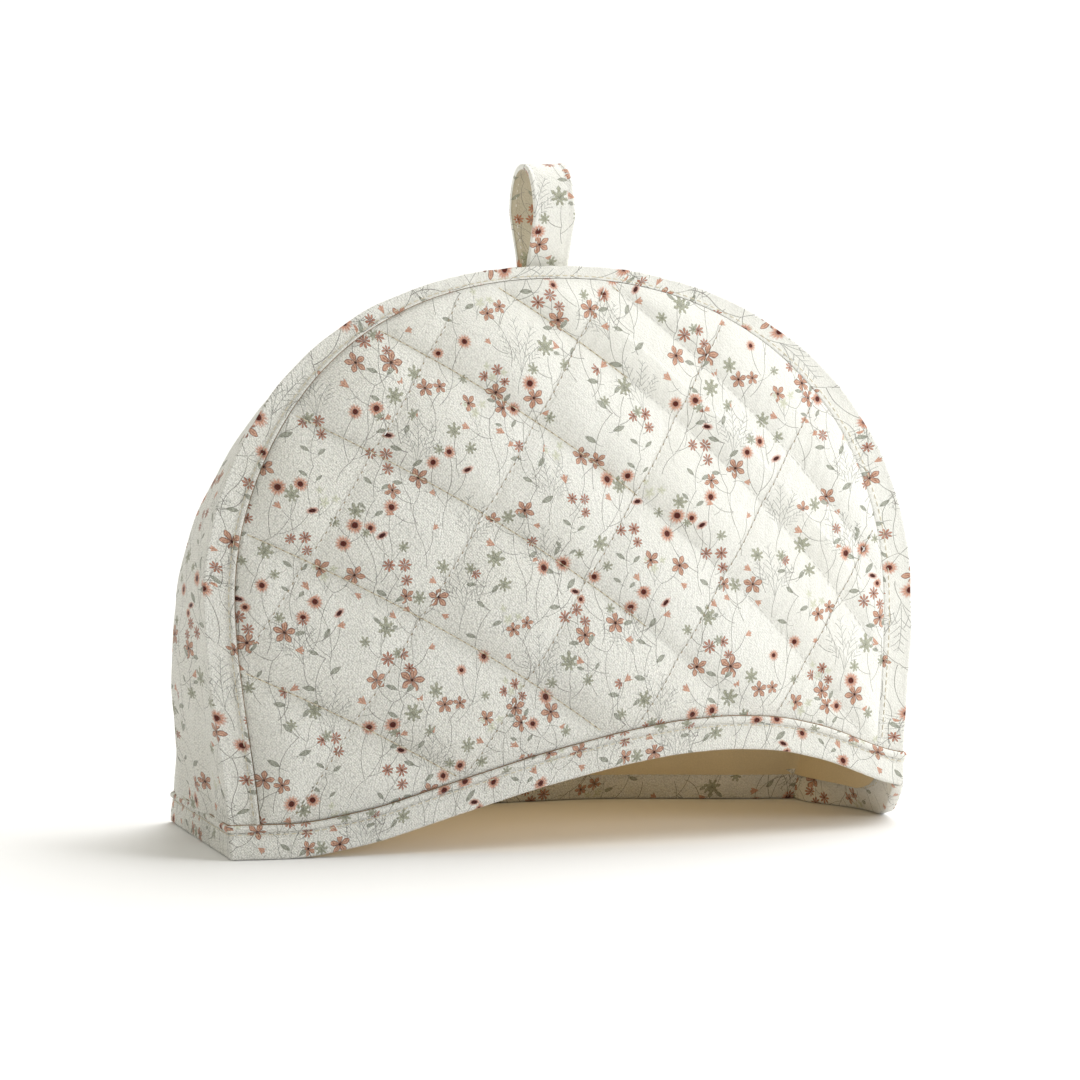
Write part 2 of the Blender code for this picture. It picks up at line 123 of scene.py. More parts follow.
def tucked(x, y, z):
    # points with the soft dent at the lower right of the back
    share = smooth((x - 0.04) / 0.12) * smooth((y + 0.03) / 0.09) * smooth(1.0 - z / shape["tuckHeight"])
    return np.stack([x - shape["tuckIn"] * share, y - shape["tuckBack"] * share, z], axis=-1)


def seamDepth(side, x):
    # the front seam is drawn in deeply on the left and lies nearly flat over the top and down the right
    return 1.0 - (0.88 * smooth((x + 0.09) / 0.10) if side < 0 else 0.0)


def ridgeSize(side):
    if side < 0:
        return shape["frontHalf"], shape["frontTop"], shape["frontPower"]
    return shape["backHalf"], shape["backTop"], shape["backPower"]


def panelSize(side):
    half, top, power = ridgeSize(side)
    return half - shape["frontHalf"] + shape["panelHalf"], top - shape["frontTop"] + shape["panelTop"], power


def distances(line):
    # how far along a line each of its points lies
    return np.concatenate([[0.0], np.cumsum(np.linalg.norm(np.diff(line, axis=0), axis=1))])


def relaxed(line, times):
    for _ in range(times):
        line[1:-1] = (line[:-2] + 2 * line[1:-1] + line[2:]) / 4
    return line


def domeLine(half, top, power, startLeft, startRight, count):
    rise = np.linspace(0.0, 1.0, 25)[:-1]
    angle = np.linspace(0.0, np.pi / 2, 241)
    arcX = half * np.cos(angle) ** (2.0 / power)
    arcZ = shape["spring"] + (top - shape["spring"]) * np.sin(angle) ** (2.0 / power)
    arcX[-1] = 0.0
    leftZ = np.concatenate([startLeft + (shape["spring"] - startLeft) * rise, arcZ])
    rightZ = np.concatenate([startRight + (shape["spring"] - startRight) * rise, arcZ])
    sideX = np.concatenate([np.full(len(rise), half), arcX])
    fromShoulder = (leftZ - shape["shoulderHeight"]) / shape["shoulderReach"]
    slump = shape["shoulder"] * np.exp(-fromShoulder ** 2) * np.minimum(sideX / 0.08, 1.0)
    xs = np.concatenate([pinch(leftZ, -1) - sideX + slump, (sideX - pinch(rightZ, 1))[::-1][1:]])
    zs = np.concatenate([leftZ, rightZ[::-1][1:]])
    along = np.concatenate([[0.0], np.cumsum(np.hypot(np.diff(xs), np.diff(zs)))])
    even = np.linspace(0.0, along[-1], count)
    return np.interp(even, along, xs), np.interp(even, along, zs)


def bulgeAt(x, z, half, top):
    over = np.clip(z - shape["spring"], 0.0, None) / (top - shape["spring"])
    reach = np.abs(x / half) ** shape["bulgePower"] + over ** shape["bulgePower"]
    return shape["bulge"] * np.clip(1.0 - reach, 0.0, 1.0) * (0.5 + 0.5 * smooth(z / shape["bulgeFull"]))


def falling(x):
    return shape["fallSlope"] * x + shape["fallBend"] * (np.exp(shape["fallRate"] * x) - 1.0)


def quiltDistances(x, z):
    # distance to the nearest falling and the nearest rising stitched line, with a sign: above is positive
    steep = shape["fallSlope"] + shape["fallBend"] * shape["fallRate"] * np.exp(shape["fallRate"] * x)
    gaps = np.stack([z + falling(x) - height for height in shape["fallHeights"]])
    nearest = np.abs(gaps).argmin(axis=0)
    fall = np.take_along_axis(gaps, nearest[None], axis=0)[0] / np.hypot(1.0, steep)
    step = shape["riseStep"] * shape["riseSlope"]
    over = z - shape["riseBase"] - shape["riseSlope"] * (x - shape["riseStart"])
    rise = (over - step * np.round(over / step)) / math.hypot(1.0, shape["riseSlope"])
    return fall, rise


def pillow(distance, channel):
    t = np.clip((np.abs(distance) - 0.0006) / channel, 0.0, 1.0)
    return (t * (2.0 - t)) ** 0.80


def puckers(along, away, pitch, reach):
    # little ridges that cross a stitched line and fade out beside it
    near = np.abs(away) / reach
    return np.sin(along * 2 * math.pi / pitch) * np.exp(-near) * near


def padding(x, z, rim, seed):
    # how far the wadding swells the cloth out between the quilting lines, with puckers along them
    fall, rise = quiltDistances(x, z)
    # the wadding settles, so each pillow is fullest and steepest along its foot
    fromFall = pillow(fall, shape["channel"] * np.where(fall > 0, 0.62, 1.05))
    fromRise = 1.0 - shape["riseDepth"] * (1.0 - pillow(rise, shape["channel"] * 0.9))
    full = shape["puff"] * (1.0 - 0.55 * smooth((x + 0.02) / 0.14))
    swell = full * fromFall * fromRise * (1.0 + 0.10 * waves(x, z, 0.09, seed))
    alongFall = x * 1.15 - z * 0.55 + 0.0016 * waves(x, z, 0.02, seed + 1)
    alongRise = z * 0.85 + x * 0.5 + 0.0016 * waves(x, z, 0.02, seed + 2)
    ridges = puckers(alongFall, fall, 0.0085, 0.0045) + 0.6 * puckers(alongRise, rise, 0.0095, 0.0040)
    swell = swell + shape["pucker"] * ridges + shape["wrinkle"] * waves(x, z, 0.030, seed + 3)
    return swell * pillow(rim, shape["rimChannel"])


def edgeDistance(x, z, rimX, rimZ):
    flat = np.stack([np.ravel(x), np.ravel(z)], axis=1)
    ends = np.stack([np.append(rimX, rimX[0]), np.append(rimZ, rimZ[0])], axis=1)
    starts, steps = ends[:-1], np.diff(ends, axis=0)
    length = np.maximum((steps ** 2).sum(axis=1), 1e-12)
    nearest = np.empty(len(flat))
    for first in range(0, len(flat), 4000):
        points = flat[first:first + 4000, None, :] - starts
        share = np.clip((points * steps).sum(axis=-1) / length, 0.0, 1.0)
        gaps = points - share[..., None] * steps
        nearest[first:first + 4000] = np.sqrt((gaps ** 2).sum(axis=-1)).min(axis=-1)
    return nearest.reshape(np.shape(x))


def dGrid(half, top, power, clear, side, across, up):
    # a grid over a D, blended from its four sides; columns run left to right, rows from foot to top
    lifted = side < 0
    startRight = cornerHeight(half, clear, lifted)
    startLeft = clear + (float(frontLift(-half)) if lifted else 0.0)
    x, z = domeLine(half, top, power, startLeft, startRight, across + 2 * up + 1)
    line = np.stack([x, z], axis=1)
    left, crown, right = line[:up + 1], line[up:up + across + 1], line[up + across:][::-1]
    footX = np.linspace(x[0], x[-1], across + 1)
    footZ = clear + (frontLift(footX) if lifted else np.zeros(across + 1))
    footZ[0], footZ[-1] = z[0], z[-1]
    foot = np.stack([footX, footZ], axis=1)
    u = np.linspace(0.0, 1.0, across + 1)[:, None, None]
    v = np.linspace(0.0, 1.0, up + 1)[None, :, None]
    grid = (1 - u) * left[None] + u * right[None] + (1 - v) * foot[:, None] + v * crown[:, None]
    grid = grid - (1 - u) * (1 - v) * foot[0] - u * (1 - v) * foot[-1]
    grid = grid - (1 - u) * v * crown[0] - u * v * crown[-1]
    rim = np.concatenate([foot, right[1:], crown[::-1][1:], left[::-1][1:-1]])
    return grid, rim


print("tea cosy: the printed pattern")

# Drawn for this cloth, in millimetres.
# A mark is (kind, x, y, size, turn), a stem or a twig is (x, y, to x, to y, bend).
sprigs = {
    "A": {  # two open flowers over a branching stem, with trumpet buds
        "stems": ((-2, -14, 0, 0, -1.0), (0, 0, 3, 17, 1.5), (3, 17, 10, 25, -1.2), (3, 17, -4, 24, 1.0),
                  (1.2, 8, -8, 15, 1.4), (-1.4, -8, 7, 2, -1.6)),
        "twigs": ((7, 21.5, 12.5, 19.5, 0.6), (-4.5, 12.0, -9.8, 10.2, 0.5)),
        "marks": (("flower", 10.8, 27.4, 5.5, 15), ("flower", -4.8, 26.4, 4.7, 50),
                  ("bud", -8.3, 15.2, 4.8, 140), ("bud", 12.9, 19.4, 3.8, -20), ("bud", 7.4, 2.3, 4.1, 25)),
    },
    "B": {  # three little daisies with leaves in pairs down a long stem
        "stems": ((-3, -18, 0, 0, 2.0), (0, 0, 2.5, 15, 1.6), (2.5, 15, -1.0, 19, -0.4),
                  (2.5, 15, 4.6, 19.5, 0.3), (2.3, 12, 5.6, 14.0, -0.4)),
        "twigs": ((1.2, 6, -2.4, 8.0, 0.4), (0.6, 4, 4.0, 6.2, -0.4), (-1.6, -6, -4.6, -3.6, 0.4),
                  (-1.2, -8, 1.6, -6.0, -0.4)),
        "marks": (("daisy", -1.8, 20.8, 3.3, 10), ("daisy", 5.0, 21.4, 3.2, 30), ("daisy", 6.2, 15.0, 2.9, 5),
                  ("oval", -3.2, 8.6, 2.6, 150), ("oval", 4.9, 6.9, 2.7, 35),
                  ("oval", -5.4, -3.0, 2.4, 145), ("oval", 2.4, -5.4, 2.3, 35)),
    },
    "C": {  # soft poppies on bare stems, one turned away
        "stems": ((-3, -10, 0, 0, 0.9), (0, 0, -5, 21, 2.6), (0.2, 0, 3, 26, -2.2), (0.6, 2, 11, 17, -2.2)),
        "marks": (("poppy", -5.2, 22.4, 4.1, 0), ("poppy", 3.2, 27.4, 4.3, 40),
                  ("side", 12.0, 18.2, 3.8, 15)),
    },
    "D": {  # cut leaves, one large and two small
        "stems": ((-1, -9, 0, 0, 0.5), (0, 0, 1.5, 8, 0.6), (-0.6, -4, 6.0, 1.2, -0.8),
                  (-0.4, -1, -5.6, 3.4, 0.6)),
        "marks": (("sage", 1.9, 11.8, 6.0, 80), ("sage", 7.8, 2.1, 4.2, 30), ("sage", -7.2, 4.8, 3.6, 140)),
    },
    "E": {  # pair of flowers seen close together
        "stems": ((-4, -12, 0, 0, -1.2), (0, 0, -2, 13, -1.0), (-1.3, 6, 5, 13, 0.6),
                  (-2.6, -6, -8.2, 1, 0.9)),
        "marks": (("flower", -2.4, 15.6, 4.8, 30), ("flower", 5.4, 15.8, 4.0, 70),
                  ("bud", -8.6, 1.6, 4.2, 110)),
    },
    "F": {  # long trailing stem with small pointed leaves
        "stems": ((-2, -12, 0, 0, 0.8), (0, 0, 7, 20, 3.2), (7, 20, 2.5, 36, 3.0)),
        "twigs": ((2.6, 6, -1.8, 8.2, 0.4), (5.2, 12, 8.8, 13.4, -0.4), (7.2, 20, 3.6, 23.0, 0.4),
                  (6.6, 27, 10.0, 29.6, -0.5), (4.6, 32, 0.4, 33.0, 0.5)),
        "marks": (("oval", -2.8, 8.7, 3.0, 155), ("oval", 9.8, 13.8, 3.1, 20), ("oval", 2.7, 23.6, 2.8, 140),
                  ("oval", 10.8, 30.2, 2.7, 45), ("oval", -0.6, 33.2, 2.6, 175),
                  ("daisy", 2.2, 38.2, 2.9, 100)),
    },
    "G": {  # two poppies, one large and dark
        "stems": ((-6, -16, 0, 0, -1.6), (0, 0, 2, 15, 1.2), (-1.8, -5, -8, 7, 1.2)),
        "twigs": ((-3.0, -8, 3.8, -2.2, -0.8),),
        "marks": (("poppy", 2.2, 16.2, 4.0, 0), ("poppy", -8.4, 8.0, 3.4, 40), ("sage", 4.9, -1.5, 3.6, 40)),
    },
    "H": {  # pale sprays, almost lost in the ground
        "twigs": ((0, -6, 0, 0, 0.4), (0, -4, 3.6, 3.4, -0.5), (0, -4, -3.2, 4.0, 0.5)),
        "marks": (("pale", 0, 1.6, 3.8, 60), ("pale", 4.0, 5.0, 3.0, 20), ("pale", -3.6, 5.6, 2.6, 110)),
    },
    "I": {  # one leaf and one bud
        "stems": ((-2, -10, 0, 4, 1.2), (-1.2, -4, -5.0, 1.4, 0.6)),
        "marks": (("sage", 0.4, 7.2, 5.2, 95), ("bud", -5.3, 1.9, 3.9, 120)),
    },
    "J": {  # nodding poppy heads
        "stems": ((0, -8, 4.5, 9, 2.0), (1.6, 0, -4, 6, 0.9)),
        "marks": (("side", 5.6, 10.4, 4.1, 35), ("side", -4.8, 7.2, 3.0, 110)),
    },
}

# One repeat of the cloth, as rows of sprigs from its top edge down. A dot is left bare.
cloth = {
    "repeat": (162.0, 149.0),
    "rows": ("AKDBHC.ID", "CFGA.BIKH", "E.BKCDA.F", "KDAF.BIGH",
             "BG.DKADEH", "AHFBC.KDA", ".KEIHBFC.", "FBC.DGAKI"),
    "turn": 26.0, "stray": 3.9,  # how far a sprig may turn and stray from its place
    "sizes": (0.94, 1.13),
}

# For each kind: its number, petals or lobes, how deep they are cut, how far it leans to one end, squash
markKinds = {
    "flower": (1, 5, 0.36, 0.0, 1.0),
    "daisy": (2, 8, 0.23, 0.0, 1.0),
    "poppy": (3, 13, 0.24, 0.0, 1.0),
    "side": (4, 7, 0.12, 0.0, 0.50),
    "bud": (5, 12, 0.22, 1.0, 1.0),
    "sage": (6, 7, 0.30, 0.0, 0.92),
    "oval": (7, 2, 0.42, 0.0, 0.40),
    "pale": (8, 5, 0.55, 0.25, 0.9),
}


def featherTwigs(height):
    # fine stalks that fan out and fork towards their tips
    stems, twigs = [], []
    for turn, share in ((-30, 0.78), (-8, 1.0), (14, 0.92), (36, 0.70)):
        angle = math.radians(turn)
        long = height * share
        endX, endY = long * math.sin(angle), long * math.cos(angle)
        stems.append((0, 0, endX, endY, 0.05 * turn))
        for j in range(5):
            part = 0.36 + 0.14 * j
            x, y = endX * part, endY * part
            side = -1 if (j + int(turn > 0)) % 2 else 1
            for hand, reach in ((side, 0.27 - 0.03 * j), (-side, 0.17 - 0.02 * j)):
                bend, far = angle + hand * 0.66, long * reach
                twigs.append((x, y, x + far * math.sin(bend), y + far * math.cos(bend), hand * 0.2))
    return {"stems": ((-1, -9, 0, 0, 0.6),), "twigs": tuple(stems + twigs)}


sprigs["K"] = featherTwigs(24.0)


def stemPoints(lines):
    # points every 0.4 mm: x, y, direction, whether the line ends before or after it, and the line's number
    found = []
    for x0, y0, x1, y1, bend in lines:
        long = math.hypot(x1 - x0, y1 - y0)
        count = max(int(long / 0.4), 3)
        t = np.linspace(0.0, 1.0, count + 1)
        controlX = (x0 + x1) / 2 + -(y1 - y0) / long * bend * 2
        controlY = (y0 + y1) / 2 + (x1 - x0) / long * bend * 2
        x = (1 - t) ** 2 * x0 + 2 * t * (1 - t) * controlX + t * t * x1
        y = (1 - t) ** 2 * y0 + 2 * t * (1 - t) * controlY + t * t * y1
        dx, dy = np.gradient(x), np.gradient(y)
        size = np.hypot(dx, dy)
        ends = np.zeros(count + 1)
        ends[0], ends[-1] = -1, 1
        number = np.full(count + 1, len(found))
        found.append(np.stack([x, y, dx / size, dy / size, ends, number], axis=1))
    return np.concatenate(found) if found else np.zeros((0, 6))


def layOut():
    # every mark, stem point and twig point of one repeat
    marks, lines = [], {"stems": [], "twigs": []}
    rng = np.random.default_rng(7)
    rows = cloth["rows"]
    least, most = cloth["sizes"]
    for down, row in enumerate(rows):
        for across, name in enumerate(row):
            stray, turn = rng.uniform(-1, 1, 2) * cloth["stray"], rng.uniform(-1, 1) * cloth["turn"]
            size = least + (most - least) * rng.uniform(0, 1)
            if name == ".":
                continue
            atX = cloth["repeat"][0] * (across + 0.5 * (down % 2)) / len(row) + stray[0]
            atY = cloth["repeat"][1] * (len(rows) - down - 0.5) / len(rows) + stray[1]
            c, s = math.cos(math.radians(turn)), math.sin(math.radians(turn))
            for kind, x, y, radius, spin in sprigs[name].get("marks", ()):
                px, py = atX + size * (x * c - y * s), atY + size * (x * s + y * c)
                radius = radius * size * rng.uniform(0.88, 1.08)
                loose = 0.25 if kind in ("bud", "oval") else 1.0  # buds and leaves stay on their stems
                spin = math.radians(spin + turn + rng.uniform(-25, 25) * loose)
                marks.append((px, py, radius, spin, *markKinds[kind]))
            for layer in lines:
                points = stemPoints(sprigs[name].get(layer, ()))
                moved = points.copy()
                moved[:, 0] = atX + size * (points[:, 0] * c - points[:, 1] * s)
                moved[:, 1] = atY + size * (points[:, 0] * s + points[:, 1] * c)
                moved[:, 2] = points[:, 2] * c - points[:, 3] * s
                moved[:, 3] = points[:, 2] * s + points[:, 3] * c
                moved[:, 5] = points[:, 5] + 100 * (across + 20 * down)
                lines[layer].append(moved)
    return np.array(marks), {layer: np.concatenate(found) for layer, found in lines.items()}


marks, stemLines = layOut()
wide, tall = cloth["repeat"]


def stemTree(points):
    # the points of one repeat and of its neighbours' edges, ready for nearest-point questions
    copies = []
    for shiftX in (-wide, 0.0, wide):
        for shiftY in (-tall, 0.0, tall):
            moved = points.copy()
            moved[:, 0] = moved[:, 0] + shiftX
            moved[:, 1] = moved[:, 1] + shiftY
            nearX = (moved[:, 0] > -6) & (moved[:, 0] < wide + 6)
            nearY = (moved[:, 1] > -6) & (moved[:, 1] < tall + 6)
            copies.append(moved[nearX & nearY])
    every = np.concatenate(copies)
    tree = kdtree.KDTree(len(every))
    for index, point in enumerate(every):
        tree.insert((point[0], point[1], 0.0), index)
    tree.balance()
    return tree, every


trees = {layer: stemTree(points) for layer, points in stemLines.items()}


def besideLine(flat, wrapped, found):
    # how far beside and beyond its stem point each corner of a face lies, and how far off the face is
    found = found[:, None, :]
    dx, dy = flat[..., 0] - found[..., 0], flat[..., 1] - found[..., 1]
    off = dy * found[..., 2] - dx * found[..., 3]
    past = (dx * found[..., 2] + dy * found[..., 3]) * found[..., 4]
    return off, past, np.hypot(wrapped[:, 0] - found[:, 0, 0], wrapped[:, 1] - found[:, 0, 1])


def printMarks(mesh, flat, wrapped):
    # each face takes the one mark nearest to it
    best = np.full(len(flat), 9.0)
    chosen = np.zeros(len(flat), int)
    for index, mark in enumerate(marks):
        dx = np.mod(wrapped[:, 0] - mark[0] + wide / 2, wide) - wide / 2
        dy = np.mod(wrapped[:, 1] - mark[1] + tall / 2, tall) - tall / 2
        away = np.hypot(dx, dy) / mark[2]
        nearer = away < best
        best[nearer], chosen[nearer] = away[nearer], index
    mark = marks[chosen][:, None, :]
    dx = flat[..., 0] - mark[..., 0]
    dy = flat[..., 1] - mark[..., 1]
    dx = dx - wide * np.round((wrapped[:, 0] - mark[:, 0, 0]) / wide)[:, None]
    dy = dy - tall * np.round((wrapped[:, 1] - mark[:, 0, 1]) / tall)[:, None]
    c, s = np.cos(mark[..., 3]), np.sin(mark[..., 3])
    kind, petals, depth, lobe = (np.broadcast_to(mark[..., k], dx.shape) for k in (4, 5, 6, 7))
    across, up = (dx * c + dy * s) / mark[..., 2], (dy * c - dx * s) / mark[..., 2] / mark[..., 8]
    place = np.stack([across, up, kind], axis=-1)
    place[best > 1.6] = (9.0, 9.0, 0.0)
    writeCorners(mesh, "markPlace", place)
    writeCorners(mesh, "markForm", np.stack([petals, depth, lobe], axis=-1))


def printOn(mesh, flat):
    # writes the pattern at each face corner: flat is every corner's place on the flat cloth in millimetres,
    # shaped (faces, corners, 2)
    centre = flat.mean(axis=1)
    wrapped = np.stack([np.mod(centre[:, 0], wide), np.mod(centre[:, 1], tall)], axis=1)
    flat = flat - centre[:, None] + wrapped[:, None]
    printMarks(mesh, flat, wrapped)
    for name, (tree, every) in (("stemPlace", trees["stems"]), ("twigPlace", trees["twigs"])):
        # the nearest line and the next one, so that crossings and forks are whole
        first, second = [], []
        for x, y in wrapped:
            near = [index for _, index, _ in tree.find_n((x, y, 0.0), 9)]
            others = [index for index in near if every[index, 5] != every[near[0], 5]]
            first.append(near[0])
            second.append(others[0] if others else -1)
        other, beyond, far = besideLine(flat, wrapped, every[second])
        other[(beyond.mean(axis=1) > 0.1) | (far > 2.0) | (np.array(second) < 0)] = 9.0
        off, past, far = besideLine(flat, wrapped, every[first])
        off[far > 3.0] = 9.0
        writeCorners(mesh, name, np.stack([off, past, other], axis=-1))


def writeCorners(mesh, name, values):
    layer = mesh.attributes.new(name, "FLOAT_VECTOR", "CORNER")
    layer.data.foreach_set("vector", np.ascontiguousarray(values, np.float32).reshape(-1))


def placed(name, data):
    # a new object with this data, in the scene
    made = bpy.data.objects.new(name, data)
    bpy.context.scene.collection.objects.link(made)
    return made


def toMesh(name, points, faces, flatCorners=None):
    # points (n, 3), faces (m, 4) of indices, flatCorners (m, 4, 2) in millimetres of flat cloth
    mesh = bpy.data.meshes.new(name)
    mesh.vertices.add(len(points))
    mesh.vertices.foreach_set("co", np.ascontiguousarray(points, np.float32).reshape(-1))
    mesh.loops.add(faces.size)
    mesh.loops.foreach_set("vertex_index", np.ascontiguousarray(faces, np.int32).reshape(-1))
    mesh.polygons.add(len(faces))
    mesh.polygons.foreach_set("loop_start", np.arange(0, faces.size, faces.shape[1], dtype=np.int32))
    mesh.update(calc_edges=True)
    mesh.validate()
    mesh.shade_smooth()
    if flatCorners is not None:
        printOn(mesh, flatCorners)
    return placed(name, mesh)


def gridFaces(columns, rows, ring=False, tube=False):
    # quads over a grid stored column by column: a ring joins its last column to its first, a tube its rows
    a = np.arange(columns if ring else columns - 1)[:, None]
    b = np.arange(rows if tube else rows - 1)[None, :]
    beside, above = (a + 1) % columns, (b + 1) % rows
    quads = [a * rows + b, beside * rows + b, beside * rows + above, a * rows + above]
    return np.stack(quads, axis=-1).reshape(-1, 4)


def editWhole(made, *steps):
    # runs mesh operators, each with its option, on the whole of a piece
    bpy.ops.object.select_all(action="DESELECT")
    bpy.context.view_layer.objects.active = made
    made.select_set(True)
    bpy.ops.object.mode_set(mode="EDIT")
    for operator, options in steps:
        bpy.ops.mesh.select_all(action="SELECT")
        operator(**options)
    bpy.ops.object.mode_set(mode="OBJECT")
    made.select_set(False)
    return made


normalsOut = (bpy.ops.mesh.normals_make_consistent, {"inside": False})
closeEnds = (bpy.ops.mesh.fill_holes, {"sides": 0})
dropLoose = (bpy.ops.mesh.delete_loose, {})


def joined(parts):
    # the points and faces of several meshes as one
    points, faces, first = [], [], 0
    for partPoints, partFaces in parts:
        points.append(partPoints)
        faces.append(partFaces + first)
        first += len(partPoints)
    return np.concatenate(points), np.concatenate(faces)


def outwardNormals(points):
    # unit normals of a grid of points (columns, rows, 3)
    across = np.gradient(points, axis=0)
    up = np.gradient(points, axis=1)
    normal = np.cross(across, up)
    return normal / np.maximum(np.linalg.norm(normal, axis=-1, keepdims=True), 1e-12)


print("tea cosy: quilted panels")

panelSettings = {
    "sink": 0.0006,  # how far the panel's edge sinks into the seam
    "gather": 0.00022, "gathers": 58,  # depth and closeness of the tucks along the seam
    # side, steps across and up, and where the pattern starts in millimetres
    "front": (-1, 400, 216, (31.0, 9.0)), "back": (1, 190, 104, (88.0, 47.0)),
}


def panelPoint(side, x, z, out):
    half, top, _ = panelSize(side)
    y = seamPlane(side, z) + side * (bulgeAt(x, z, half, top) + out)
    return tucked(x, y, z)


def quiltedPanel(name, side, across, up, printStart):
    half, top, power = panelSize(side)
    grid, rim = dGrid(half - 0.0003, top - 0.0003, power, shape["band"] - 0.0002, side, across, up)
    x, z = grid[..., 0], grid[..., 1]
    rimStep = max(len(rim) // 260, 1)
    fromRim = edgeDistance(x, z, rim[::rimStep, 0], rim[::rimStep, 1])
    out = padding(-side * x, z, fromRim, 11 if side < 0 else 23)
    # small tucks where the padded cloth is drawn into its seam
    angle = np.arctan2(z - 0.10, x)
    gather = np.sin(angle * panelSettings["gathers"] + 3.0 * waves(x, z, 0.08, 5))
    gather = gather * np.exp(-fromRim / 0.010) * smooth(fromRim / 0.004)
    sunk = panelSettings["sink"] * seamDepth(side, x) * (1.0 - smooth(fromRim / 0.0012))
    points = panelPoint(side, x, z, out + panelSettings["gather"] * gather - sunk)
    faces = gridFaces(across + 1, up + 1)
    if side > 0:
        faces = faces[:, ::-1]
    flat = np.stack([-side * x, z], axis=-1).reshape(-1, 2)[faces] * 1000 + np.array(printStart)
    return toMesh(name, points.reshape(-1, 3), faces, flat)


frontPanel = quiltedPanel("front_panel_cloth", *panelSettings["front"])
backPanel = quiltedPanel("back_panel_cloth", *panelSettings["back"])


print("tea cosy: gusset")

gussetSettings = {
    "along": 640,  # steps from the lower left, over the dome, to the lower right
    "across": 72,  # steps between the two creases
    "rollWidth": 0.0027, "rollProud": 0.0016,  # the topstitched ridge beside each seam
    "crease": 0.0005,  # how far the crease stands out
    "foldDepth": 0.0020,  # soft folds that fall down the ends
    "slack": 0.0022, "belly": 0.0050, "bellyHeight": 0.080, "bellyReach": 0.045,  # the loose left end
    "pucker": 0.00018, "puckerStep": 0.011, "wrinkle": 0.00035,
    "printStart": (12.0, 30.0), "printSqueeze": 0.70,  # the cloth is eased a little wider across the strip
}


def girdleLine(share, count, clear, inset=0.0):
    halfFront, topFront, powerFront = ridgeSize(-1)
    halfBack, topBack, powerBack = ridgeSize(1)
    half = halfFront + (halfBack - halfFront) * share - inset
    top = topFront + (topBack - topFront) * share - inset
    power = powerFront + (powerBack - powerFront) * share
    lowY = frontY(0.0) + shape["depthHem"] * share
    x, z = domeLine(half, top, power, clear, clear + float(rightLift(lowY)), count)
    z = z - shape["sag"] * 4 * share * (1 - share) * smooth((z - shape["sagStart"]) / shape["sagRange"])
    y = frontY(z) + shape["setBack"] * (1 - 2 * share) + depthAt(z) * share
    return tucked(x, y, z)


def stripLine(side, inset, out, count, clear):
    ridgeHalf, ridgeTop, power = ridgeSize(side)
    half = ridgeHalf - (shape["frontHalf"] - shape["panelHalf"]) * inset
    top = ridgeTop - (shape["frontTop"] - shape["panelTop"]) * inset
    x, z = domeLine(half, top, power, clear, cornerHeight(half, clear, side < 0), count)
    y = seamPlane(side, z) - side * shape["setBack"] * (1 - inset) + side * out * seamDepth(side, x)
    return tucked(x, y, z)


def stripBorder():
    # the strip beside one panel, from its seam to its crease: inset, and how far out
    seamToCrease = shape["frontHalf"] - shape["panelHalf"]
    roll = gussetSettings["rollWidth"] / seamToCrease
    border = [(1.0 + 0.0002 / seamToCrease, -panelSettings["sink"])]
    for t in np.linspace(0.0, 1.0, 9):
        border.append((1.0 - roll * t, gussetSettings["rollProud"] * math.sin(math.pi * t) ** 0.6 + 0.0002))
    for t in np.linspace(0.0, 1.0, 9)[1:-1]:
        border.append(((1.0 - roll) * (1.0 - t), -0.0005 * math.exp(-t * 6)))
    return border


def facesInward(normal, points):
    # whether a strip's normals point into the cosy
    middle = points.shape[1] // 2
    fromCentre = points[:, middle] - np.array([0, 0, 0.12])
    return np.mean((normal[:, middle] * fromCentre).sum(axis=-1)) < 0


